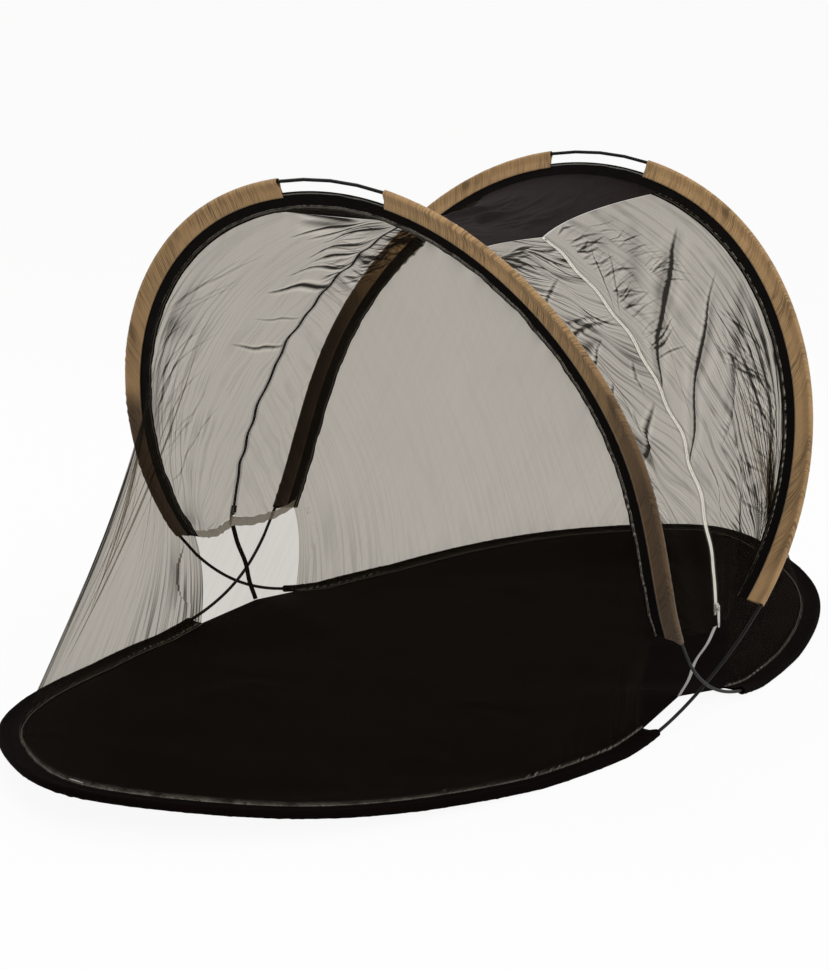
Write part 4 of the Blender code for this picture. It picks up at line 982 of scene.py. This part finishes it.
def end_net_grid(arch_hoop, loop_hoop, rows, columns):
    """Net from an arch's band down to the other hoop's ground loop, drawn in at both sides."""
    u, v = np.linspace(0.0, 1.0, columns), np.linspace(0.0, 1.0, rows)
    stop = arch_hoop.marks["sleeve_end"]
    head = band_line(arch_hoop, stop * (1 - 2 * u), -1.0)
    start, tip = loop_hoop.marks["hem_start"], loop_hoop.marks["tip"]
    run = np.where(u < 0.5, start + (tip - start) * 2 * u, -(tip - (tip - start) * (2 * u - 1)))
    tail = loop_hoop.place(run, np.full_like(run, sizes().hem_width - LAP), np.full_like(run, 0.0022))
    near = drawn_edge(head[0], tail[0], (0.0, 0.010, 0.010), v)
    far = drawn_edge(head[-1], tail[-1], (0.0, -0.010, 0.010), v)
    base = coons(near, far, head, tail)
    over, along = grid_lengths(base)
    ripple = 0.004 * np.sin(2 * np.pi * 9 * u)[None]
    shape = np.sin(np.pi * v)[:, None]
    rng = np.random.default_rng(201 if arch_hoop.end == LEFT else 202)
    place_u = np.broadcast_to(u[None] * float(along.max()) * 2.2, over.shape)
    fine = soft_noise(rng, 6, 0.012, 0.05)(place_u + 0.04 * np.sin(3.0 * v)[:, None])
    push = (ripple - 0.030 + 0.0018 * fine) * shape * smoothstep(np.minimum(u, 1 - u) / 0.16)[None]
    normals = grid_normals(base, (arch_hoop.end, 0.0, 0.3))
    low = smoothstep((v - 0.35) / 0.6)[:, None]
    corner = np.exp(-((np.minimum(u, 1 - u)) / 0.10) ** 2)[None]
    drawn = 1.2 if arch_hoop.end == LEFT else 0.30
    pucker = np.clip(0.02 + 0.05 * low + drawn * corner * (0.4 + 0.6 * low), 0.0, 1.2)
    hem_gather = np.exp(-(1 - v) / 0.02)[:, None] * 0.30 + np.exp(-v / 0.012)[:, None] * 0.35
    if arch_hoop.end == LEFT:
        strand = soft_noise(rng, 6, 0.006, 0.03)(place_u)
        band = np.exp(-((u - EDGE_STRANDS) / 0.028) ** 2)[None] * smoothstep((v - 0.2) / 0.3)[:, None]
        hem_gather = hem_gather + band * (0.50 + 0.60 * strand)
    frill = 0.6 + 0.4 * soft_noise(rng, 4, 0.02, 0.07)(place_u)
    fan = np.stack([place_u, np.broadcast_to(along, over.shape), np.zeros_like(over)], axis=2)
    ragged = 0.5 + 0.5 * soft_noise(rng, 4, 0.006, 0.03)(place_u)
    drop = np.minimum(along, along[-1:] - along)
    marks = {"gather": hem_gather * frill, "pucker": pucker, "fan": fan,
             "seam": np.exp(-((drop - 0.0025 * ragged) / SEAM_WIDTH) ** 2) * (0.35 + 0.65 * ragged)}
    return base + normals * push[..., None], marks


# Pieces sewn round the wire

# A folded strip: half the gap between its layers, how far in from the wire its layers meet, the least height
STRIP_GAP = 0.00135
SLEEVE_SEAM, HEM_SEAM = 0.012, 0.014
HEM_BOTTOM = 0.0009


def folded_strip(hoop, lengths, radius, seam, width, pucker, fullness):
    """Strip folded round the wire: outer layer, bend and inner layer, with sewing puckers."""
    turns = np.linspace(math.radians(62), math.radians(298), 15)
    bend = [(radius * math.cos(turn), radius * math.sin(turn)) for turn in turns]
    flat = [(width + (seam - width) * share, STRIP_GAP) for share in (0.0, 0.25, 0.5, 0.75, 1.0)]
    slope = [(seam * 0.6 + radius * 0.15, STRIP_GAP + (radius - STRIP_GAP) * 0.42)]
    back = [(x, -y) for x, y in reversed(flat + slope)]
    inward, across = np.array(flat + slope + bend + back).T
    swell = pucker(lengths)[:, None]
    part = np.clip(np.abs(across)[None] / radius, 0.0, 1.0)
    loose = smoothstep((width - inward) / (width - seam * 0.5))[None]
    scale = 1.0 + fullness * swell * loose
    shifted = across[None] * scale + np.sign(across)[None] * np.abs(swell) * 0.0006 * (0.3 + part)
    places = np.repeat(lengths[:, None], len(inward), axis=1)
    return hoop.place(places, inward[None] * np.ones_like(scale), shifted)


def spaced(start, stop, step):
    return np.linspace(start, stop, max(int(abs(stop - start) / step), 4) + 1)


# Rows and columns of each kind of panel
SIDE_NET_ROWS, END_NET_ROWS, ROOF_ROWS = (380, 210), (110, 360), (90, 150)


class NETTENT_OT_nets(bpy.types.Operator):
    """Hang the six net panels with their folds"""

    bl_idname = "net_tent.nets"
    bl_label = "Net panels"

    def execute(self, context):
        hoops = both_hoops()
        net = finish_named("net cloth")
        for end, hoop in hoops.items():
            for side in (NEAR, FAR):
                name = f"side_net_{SIDE_NAMES[side]}_{END_NAMES[end]}"
                grid, marks = side_net_grid(hoop, side, *SIDE_NET_ROWS)
                item = sew_sheet(name + "_cloth", grid, net, outward=(0.0, side, 0.3), marks=marks)
                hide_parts(name)
                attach(item, "canopy")
                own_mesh(item)
            name = f"end_net_{END_NAMES[end]}"
            grid, marks = end_net_grid(hoop, hoops[-end], *END_NET_ROWS)
            item = sew_sheet(name + "_cloth", grid, net, outward=(end, 0.0, 0.3), marks=marks)
            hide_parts(name)
            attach(item, "ground_left" if end == LEFT else "ground_right")
            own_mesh(item)
        return {"FINISHED"}


class NETTENT_OT_roof(bpy.types.Operator):
    """Stretch the dark roof between the arch tops"""

    bl_idname = "net_tent.roof"
    bl_label = "Roof"

    def execute(self, context):
        hoops = both_hoops()
        v, u = (np.linspace(0.0, 1.0, count) for count in ROOF_ROWS)
        sewn = []
        for end in (LEFT, RIGHT):
            start, stop = hoops[end].roof_mark(FAR), hoops[end].roof_mark(NEAR)
            sewn.append(band_line(hoops[end], start + (stop - start) * v, 1.0))
        edges = []
        for side in (FAR, NEAR):
            left = roof_edge(hoops[LEFT], side, np.clip(u * 2, 0.0, 1.0))
            right = roof_edge(hoops[RIGHT], side, np.clip(2 - u * 2, 0.0, 1.0))
            edges.append(np.where((u < 0.5)[:, None], left, right))
        for edge, row in zip(edges, (0, -1)):
            edge[0], edge[-1] = sewn[0][row], sewn[1][row]
        base = coons(sewn[0], sewn[1], edges[0], edges[1])
        over, along = grid_lengths(base)
        over = over - over[:, :1]
        rng = np.random.default_rng(301)
        lines = drag_lines(rng, 70, (0.02, 0.02), (0.02, 0.4), 0, 9, 0.32, 0.006, 0.0035, 0.0)
        lines += drag_lines(rng, 50, (0.35, 0.02), (0.35, 0.4), 0, 10, 0.34, 0.006, 0.0035, 0.0)
        field, _ = fold_field(over, along, lines)
        droop = -0.030 * np.sin(np.pi * u)[None] * np.sin(np.pi * v)[:, None]
        normals = grid_normals(base, (0.0, 0.0, 1.0))
        grid = base + normals * (droop + field * sewn_hold(v, u))[..., None]
        item = sew_sheet("roof_cloth", grid, finish_named("roof cloth"), sizes().cloth, (0.0, 0.0, 1.0))
        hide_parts("roof")
        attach(item, "canopy")
        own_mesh(item)
        return {"FINISHED"}


# Painted shade down each sleeve's leg: the height below which its inner side darkens, the length of the
# change and how dark it gets
LEG_PAINTED_SHADE = {
    (LEFT, NEAR): (0.80, 0.35, 0.80),
    (LEFT, FAR): (0.50, 0.07, 0.80),
    (RIGHT, NEAR): (0.80, 0.35, 0.10),
    (RIGHT, FAR): (0.80, 0.30, 0.97),
}


class NETTENT_OT_sleeves(bpy.types.Operator):
    """Fold the tan sleeves round the arches"""

    bl_idname = "net_tent.sleeves"
    bl_label = "Tan sleeves"

    def execute(self, context):
        tan = finish_named("tan sleeve cloth")
        for end in (LEFT, RIGHT):
            hoop = Hoop(end)
            for side in (NEAR, FAR):
                name = f"sleeve_{END_NAMES[end]}_{SIDE_NAMES[side]}"
                lengths = spaced(-side * hoop.marks["handle"], -side * hoop.marks["sleeve_end"], 0.0032)
                rng = np.random.default_rng(int(400 + 10 * end + side))
                fine, coarse = soft_noise(rng, 5, 0.009, 0.026), soft_noise(rng, 3, 0.05, 0.14)
                grid = folded_strip(hoop, lengths, sizes().sleeve_radius, SLEEVE_SEAM, sizes().sleeve_width,
                                    lambda s: 0.7 * fine(s) + 0.5 * coarse(s), 0.16)
                # Painted shade: each sleeve darkens below a height towards its tone colour, as if its leg
                # stood in shade.
                top, fade, deepest = LEG_PAINTED_SHADE[end, side]
                depth = smoothstep((top - hoop.place(lengths)[:, 2]) / fade) * deepest
                tape_edge_and_painted_shade = np.broadcast_to(depth[:, None], grid.shape[:2])
                item = sew_sheet(name + "_cloth", grid, tan, sizes().cloth, marks={"tape_edge_and_painted_shade": tape_edge_and_painted_shade})
                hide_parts(name)
                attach(item, f"arch_{END_NAMES[end]}")
        return {"FINISHED"}


class NETTENT_OT_bands(bpy.types.Operator):
    """Sew the black binding between the sleeves and the panels"""

    bl_idname = "net_tent.bands"
    bl_label = "Black binding"

    def execute(self, context):
        black = finish_named("black binding")
        for end in (LEFT, RIGHT):
            hoop = Hoop(end)
            stop = hoop.marks["sleeve_end"]
            lengths = spaced(-stop, stop, 0.004)
            inward = np.linspace(sizes().sleeve_width - LAP, band_edge(), 9)
            ripple = band_ripple(end)(lengths)
            slack = np.clip((inward - sizes().sleeve_width) / sizes().band_width, 0.0, 1.0)
            grid = hoop.place(np.repeat(lengths[:, None], len(inward), axis=1),
                              np.repeat(inward[None], len(lengths), axis=0), ripple[:, None] * slack[None])
            item = sew_sheet(f"band_{END_NAMES[end]}_cloth", grid, black, sizes().cloth)
            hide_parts(f"band_{END_NAMES[end]}")
            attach(item, f"arch_{END_NAMES[end]}")
        return {"FINISHED"}


class NETTENT_OT_floor(bpy.types.Operator):
    """Lay the floor, its hems round the ground loops and the side ties"""

    bl_idname = "net_tent.floor"
    bl_label = "Floor and hems"

    def execute(self, context):
        hoops = both_hoops()
        cloth = finish_named("floor cloth")
        for end, hoop in hoops.items():
            marks = hoop.marks
            half = spaced(marks["hem_start"], marks["tip"], 0.005)
            lengths = np.r_[half, -half[-2::-1]]
            rng = np.random.default_rng(int(500 + end))
            fine, coarse = soft_noise(rng, 4, 0.012, 0.03), soft_noise(rng, 3, 0.06, 0.16)
            grid = folded_strip(hoop, lengths, sizes().hem_radius, HEM_SEAM, sizes().hem_width,
                                lambda s: 0.5 * fine(s) + 0.4 * coarse(s), 0.05)
            grid[..., 2] = np.maximum(grid[..., 2], HEM_BOTTOM)
            name = f"hem_{END_NAMES[-end]}"
            item = sew_sheet(name + "_cloth", grid, finish_named("hem cloth"), sizes().cloth)
            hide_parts(name)
            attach(item, "ground_left" if end == RIGHT else "ground_right")
        grid = floor_grid(hoops)
        item = sew_sheet("floor_cloth", grid, cloth, sizes().cloth, (0.0, 0.0, 1.0))
        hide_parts("floor")
        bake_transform(item)
        for side in (NEAR, FAR):
            make_tie(side)
        return {"FINISHED"}


# How far inside the ground wire the floor's edge is sewn, and where the floor leaves the hem
FLOOR_EDGE, FLOOR_LAP = 0.028, 0.040
FLOOR_BOTTOM = 0.0005
NOTCH_ROWS = (-0.8, -0.55, -0.25, 0.0, 0.25, 0.55, 0.8)


def loop_pair(hoop, length, inward):
    """The near and the far place at one length of a hoop."""
    return [hoop.place(np.array([sign * length]), inward)[0] for sign in (1, -1)]


def floor_grid(hoops):
    """Rows across the tent, from the left loop's tip to the right loop's tip."""
    shares = np.sin(np.linspace(-np.pi / 2, np.pi / 2, 71))
    halves = {}
    for end, hoop in hoops.items():
        lengths = np.linspace(hoop.marks["hem_start"], hoop.marks["tip"] - 0.03, 100)
        halves[end] = []
        for length in lengths:
            edge, lap = loop_pair(hoop, length, FLOOR_EDGE), loop_pair(hoop, length, FLOOR_LAP)
            halves[end].append(floor_row(edge, lap, shares))
    notches = [notch_row(hoops, share, shares) for share in NOTCH_ROWS]
    grid = np.array(halves[RIGHT][::-1] + notches + halves[LEFT])
    rng = np.random.default_rng(601)
    lines = drag_lines(rng, 36, (-0.9, -0.30), (0.9, -0.30), 60, 60, 0.22, 0.012, 0.0022, 0.0)
    lines += drag_lines(rng, 36, (-0.9, 0.25), (0.9, 0.25), -60, 60, 0.22, 0.012, 0.0022, 0.0)
    lines += drag_lines(rng, 20, (-0.1, -0.4), (0.1, 0.4), 90, 70, 0.26, 0.012, 0.0025, 0.0)
    field, _ = fold_field(grid[..., 0], grid[..., 1], lines)
    slack = 0.0008 * (1 + soft_noise(rng, 4, 0.12, 0.3)(grid[..., 0] + 0.4 * grid[..., 1]))
    hold = np.sin(np.pi * np.linspace(0.0, 1.0, grid.shape[1]))[None] ** 0.5
    grid[..., 2] += (np.abs(field) + slack) * hold
    return grid


def floor_row(edge, lap, shares):
    """Row from hem to hem: its sewn ends, and between them the cloth that comes down onto the ground."""
    middle, spread = (lap[0] + lap[1]) / 2, (lap[1] - lap[0]) / 2
    rise = max(lap[0][2] - FLOOR_BOTTOM, 0.0)
    row = [edge[0]]
    for share in shares:
        point = middle + spread * share
        inset = (1 - abs(share)) * np.linalg.norm(spread)
        point[2] = FLOOR_BOTTOM + rise * (1 - float(smoothstep(np.array(inset / (0.050 + 5.0 * rise)))))
        row.append(point)
    return np.array(row + [edge[1]])


def notch_row(hoops, share, shares):
    """Row between the two hems, where the floor's edge draws in to a notch."""
    hoop = hoops[LEFT] if share > 0 else hoops[RIGHT]
    toward = loop_pair(hoop, hoop.marks["hem_start"], FLOOR_EDGE)
    edges = []
    for k, side in enumerate((NEAR, FAR)):
        notch = np.array([0.0, side * NOTCH_HALF_SPAN, NOTCH_HEIGHT])
        edges.append(notch + (toward[k] - notch) * abs(share))
    laps = [edge + np.array([0.0, -side * 0.012, -0.001]) for edge, side in zip(edges, (NEAR, FAR))]
    return floor_row(edges, laps, shares)


TIE_HALF_WIDTH, TIE_THICKNESS = 0.006, 0.001


def make_tie(side):
    """Strap from the middle of the side hem down to the floor's notch."""
    top = zipper_line(side, 0.0, np.array([1.0]))[0] + np.array([0.0, 0.0, -sizes().side_hem - 0.0005])
    notch = np.array([0.0, side * (NOTCH_HALF_SPAN + 0.001), NOTCH_HEIGHT + 0.001])
    shares = np.linspace(0.0, 1.0, 30)
    line = drawn_edge(top, notch, (0.0, 0.0, 0.0), shares)
    line[:, 1] += side * 0.003 * np.sin(np.pi * 3 * shares) * np.sin(np.pi * shares)
    reaches = np.linspace(-TIE_HALF_WIDTH, TIE_HALF_WIDTH, 5)
    grid = np.stack([line + np.array([reach, 0.0, 0.0]) for reach in reaches], axis=1)
    finish = finish_named("pale cord" if side == NEAR else "dark strap")
    item = sew_sheet(f"tie_{SIDE_NAMES[side]}_cloth", grid, finish, TIE_THICKNESS, (0.0, side, 0.0))
    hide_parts(f"tie_{SIDE_NAMES[side]}")
    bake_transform(item)


def hem_row(hoop, side, shares, low):
    """Row of half a side hem, from its top edge at 0 to its lower edge at 1."""
    top, bottom = side_edge(hoop, side, "net_end", shares), side_edge(hoop, side, "sleeve_end", shares)
    return top * (1 - low) + bottom * low


class NETTENT_OT_side_hems(bpy.types.Operator):
    """Sew the folded tape under each side panel"""

    bl_idname = "net_tent.side_hems"
    bl_label = "Side hems"

    def execute(self, context):
        hoops = both_hoops()
        for side in (NEAR, FAR):
            shares = np.linspace(0.0, 1.0, 90)
            rows = []
            for low in np.linspace(0.0, 1.0, 7):
                left, right = (hem_row(hoops[end], side, shares, low) for end in (LEFT, RIGHT))
                row = np.concatenate([left, right[-2::-1]])
                row[:, 1] += side * 0.0008 * math.sin(math.pi * low)
                rows.append(row)
            grid = np.array(rows)
            shade = finish_named("dark hem" if side == NEAR else "pale hem")
            item = sew_sheet(f"side_hem_{SIDE_NAMES[side]}_cloth", grid, shade, outward=(0.0, side, 0.0))
            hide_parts(f"side_hem_{SIDE_NAMES[side]}")
            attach(item, "canopy")
            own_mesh(item)
        return {"FINISHED"}


class NETTENT_OT_zippers(bpy.types.Operator):
    """Sew in both zippers: tapes and coiled teeth"""

    bl_idname = "net_tent.zippers"
    bl_label = "Zippers"

    def execute(self, context):
        shares = np.linspace(0.003, 0.997, 240)
        for side in (NEAR, FAR):
            shade = "pale" if side == NEAR else "dark"
            for end in (LEFT, RIGHT):
                reaches = np.linspace(0.0002, 0.0104, 12)
                grid = np.stack([zipper_line(side, end * reach, shares) for reach in reaches], axis=1)
                outer = smoothstep((reaches - (0.0042 if side == NEAR else 0.0036)) / 0.0015)
                tape_edge_and_painted_shade = np.broadcast_to(outer[None], grid.shape[:2])
                name = f"zip_tape_{SIDE_NAMES[side]}_{END_NAMES[end]}"
                tape = finish_named(shade + " tape")
                item = sew_sheet(name + "_cloth", grid, tape, outward=(0.0, side, 0.3), marks={"tape_edge_and_painted_shade": tape_edge_and_painted_shade})
                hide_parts(name)
                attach(item, "canopy")
                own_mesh(item)
                make_coil(side, end, finish_named(shade + " coil"))
        return {"FINISHED"}


# The coil's pitch, its thread's radius, and where along the zipper it starts and stops
COIL_PITCH, COIL_THREAD, COIL_STEPS = 0.0018, 0.00036, 5
COIL_START, COIL_STOP = 0.008, 0.993


def make_coil(side, end, finish):
    """One side's coil of nylon teeth, sewn along the tape's edge."""
    _, radius, (top, bottom) = zipper_arc(side)
    length = radius * (bottom - top)
    steps = int(length * 0.985 / COIL_PITCH) * COIL_STEPS
    shares = np.linspace(COIL_START, COIL_STOP, steps + 1)
    phase = np.arange(steps + 1) * 2 * math.pi / COIL_STEPS
    line = zipper_line(side, 0.0, shares)
    outward = unit(zipper_line(side, 0.0, shares, 0.001) - line)
    path = line + outward * (0.00035 + 0.00075 * np.sin(phase))[:, None]
    path[:, 0] += end * (0.0013 + 0.0012 * np.cos(phase))
    item = swept_tube(f"zip_coil_{SIDE_NAMES[side]}_{END_NAMES[end]}", path, COIL_THREAD, 0, finish)
    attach(item, "canopy")
    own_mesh(item)


class NETTENT_OT_wires(bpy.types.Operator):
    """Bend the wire between each arch and its ground loop, and finish the metal"""

    bl_idname = "net_tent.wires"
    bl_label = "Wires and metal"

    def execute(self, context):
        steel, metal = finish_named("spring wire"), finish_named("zipper metal")
        for name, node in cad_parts.items():
            if name.startswith(("arch_wire", "loop_wire")):
                cover_with(node, steel)
            if name.startswith(("zip_slider", "zip_pull", "zip_stop", "ferrule")):
                cover_with(node, metal)
        for end in (LEFT, RIGHT):
            hoop = Hoop(end)
            marks = hoop.marks
            for side in (NEAR, FAR):
                name = f"wire_bend_{END_NAMES[end]}_{SIDE_NAMES[side]}"
                if end == LEFT:
                    item = make_bend(name, hoop, side, marks["bend_top"], marks["bend_foot"], steel)
                    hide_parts(name)
                    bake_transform(item)
                    continue
                upper = make_bend(name + "_upper", hoop, side, marks["bend_top"], marks["crossing"], steel)
                lower = make_bend(name + "_lower", hoop, side, marks["crossing"], marks["bend_foot"], steel)
                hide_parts(name)
                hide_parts(name)
                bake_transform(upper)
                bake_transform(lower)
        return {"FINISHED"}


def make_bend(name, hoop, side, start, stop, finish):
    """A length of round wire between two marks of a hoop."""
    path = hoop.place(-side * np.linspace(start, stop, 48))
    item = swept_tube(name + "_wire", path, sizes().wire_radius, 4, finish)
    return item


def swept_tube(name, path, radius, roundness, finish):
    """Round tube with closed ends along a path."""
    bpy.ops.object.select_all(action="DESELECT")
    bpy.ops.curve.primitive_nurbs_path_add()
    item = bpy.context.object
    item.name = item.data.name = name
    curve = item.data
    curve.splines.clear()
    spline = curve.splines.new("POLY")
    spline.points.add(len(path) - 1)
    spline.points.foreach_set("co", np.c_[path, np.ones(len(path))].astype(np.float32).ravel())
    curve.bevel_depth = radius
    curve.bevel_resolution = roundness
    curve.use_fill_caps = True
    bpy.ops.object.convert(target="MESH")
    item = bpy.context.object
    bpy.ops.object.shade_smooth()
    cover_with(item, finish)
    return item


# The camera's fit to the photograph: degrees, metres, and its focal length in the photograph's pixels
CAMERA_TURNS = (-56.42, 12.85, 2.23)
CAMERA_PLACE = (-3.5242, -2.2363, 1.2827)
FOCAL_PIXELS, PHOTO_HEIGHT_PIXELS = 2403.3, 969.0
SENSOR_WIDTH = 36.0
WHITE_SHARE = 0.93


class NETTENT_OT_stage(bpy.types.Operator):
    """Set the pale floor, the soft lamps and the camera"""

    bl_idname = "net_tent.stage"
    bl_label = "Stage"

    def execute(self, context):
        scene = context.scene
        scene.view_settings.view_transform = "Standard"
        bpy.ops.object.select_all(action="DESELECT")
        bpy.ops.mesh.primitive_plane_add(size=400.0, location=(0.0, 0.0, -0.0006))
        ground = context.object
        ground.name = "stage_floor"
        ground.data.transform(ground.matrix_world)
        ground.matrix_world = Matrix.Identity(4)
        finish = Finish("stage paper", (0.82, 0.82, 0.82), 0.9)
        glow = finish.nodes.new("ShaderNodeEmission")
        glow.inputs["Color"].default_value = (1.0, 1.0, 1.0, 1.0)
        glow.inputs["Strength"].default_value = 1.0
        share = finish.times(straight_rays(finish.tree), WHITE_SHARE)
        blend_shaders(finish.tree, share, finish.shader.outputs[0], glow.outputs[0], "Material Output")
        ground.data.materials.append(finish.material)
        self.light_world(scene)
        self.hang_lamp("key_lamp", (-2.6, -3.0, 3.4), 2.6, 95.0)
        self.hang_lamp("fill_lamp", (3.2, -2.2, 2.6), 2.6, 40.0)
        self.hang_lamp("top_lamp", (0.4, 2.4, 3.6), 2.4, 45.0)
        self.set_camera(scene)
        return {"FINISHED"}

    @staticmethod
    def light_world(scene):
        world = bpy.data.worlds.new("pale studio")
        world.use_nodes = True
        scene.world = world
        tree = world.node_tree
        soft = tree.nodes["Background"]
        soft.inputs["Color"].default_value = (1.0, 0.99, 0.97, 1.0)
        soft.inputs["Strength"].default_value = 0.55
        white = tree.nodes.new("ShaderNodeBackground")
        white.inputs["Color"].default_value = (1.0, 1.0, 1.0, 1.0)
        white.inputs["Strength"].default_value = 1.0
        blend_shaders(tree, straight_rays(tree), soft.outputs[0], white.outputs[0], "World Output")

    @staticmethod
    def hang_lamp(name, place, size, power):
        lamp = bpy.data.lights.new(name, "AREA")
        lamp.size = size
        lamp.energy = power
        item = bpy.data.objects.new(name, lamp)
        item.location = place
        item.rotation_euler = (Vector((0.0, 0.0, 0.3)) - Vector(place)).to_track_quat("-Z", "Y").to_euler()
        bpy.context.scene.collection.objects.link(item)

    @staticmethod
    def set_camera(scene):
        """The photograph's view: azimuth, elevation and roll about the line of sight."""
        azimuth, elevation, roll = (math.radians(turn) for turn in CAMERA_TURNS)
        back = Vector((math.sin(azimuth) * math.cos(elevation), -math.cos(azimuth) * math.cos(elevation),
                       math.sin(elevation)))
        level = Vector((math.cos(azimuth), math.sin(azimuth), 0.0))
        rise = back.cross(level)
        right = level * math.cos(roll) + rise * math.sin(roll)
        up = rise * math.cos(roll) - level * math.sin(roll)
        camera = bpy.data.cameras.new("photograph_camera")
        camera.sensor_width = SENSOR_WIDTH
        camera.lens = SENSOR_WIDTH * FOCAL_PIXELS / PHOTO_HEIGHT_PIXELS
        item = bpy.data.objects.new("photograph_camera", camera)
        facing = Matrix((right, up, back)).transposed().to_4x4()
        item.matrix_world = Matrix.Translation(CAMERA_PLACE) @ facing
        scene.collection.objects.link(item)
        scene.camera = item


class NETTENT_PT_panel(bpy.types.Panel):
    """Lists the tent's pieces in the sidebar"""

    bl_idname = "NETTENT_PT_panel"
    bl_label = "Net Tent"
    bl_space_type = "VIEW_3D"
    bl_region_type = "UI"
    bl_category = "Net Tent"

    def draw(self, context):
        for group in (context.scene.net_tent_sizes, context.scene.net_tent_colours):
            for name in group.__annotations__:
                self.layout.prop(group, name)
        for operator in OPERATORS:
            self.layout.operator(operator.bl_idname)


OPERATORS = (NETTENT_OT_bands, NETTENT_OT_sleeves, NETTENT_OT_floor, NETTENT_OT_nets, NETTENT_OT_roof,
             NETTENT_OT_side_hems, NETTENT_OT_zippers, NETTENT_OT_wires, NETTENT_OT_stage)
CLASSES = (TentSizes, TentColours, *OPERATORS, NETTENT_PT_panel)


def register():
    for item in CLASSES:
        bpy.utils.register_class(item)
    bpy.types.Scene.net_tent_sizes = bpy.props.PointerProperty(type=TentSizes)
    bpy.types.Scene.net_tent_colours = bpy.props.PointerProperty(type=TentColours)


def unregister():
    del bpy.types.Scene.net_tent_sizes
    del bpy.types.Scene.net_tent_colours
    for item in reversed(CLASSES):
        bpy.utils.unregister_class(item)


def main():
    register()
    bpy.ops.net_tent.bands()
    bpy.ops.net_tent.sleeves()
    bpy.ops.net_tent.floor()
    bpy.ops.net_tent.nets()
    bpy.ops.net_tent.roof()
    bpy.ops.net_tent.side_hems()
    bpy.ops.net_tent.zippers()
    bpy.ops.net_tent.wires()
    bpy.ops.net_tent.stage()


if __name__ == "__main__":
    main()
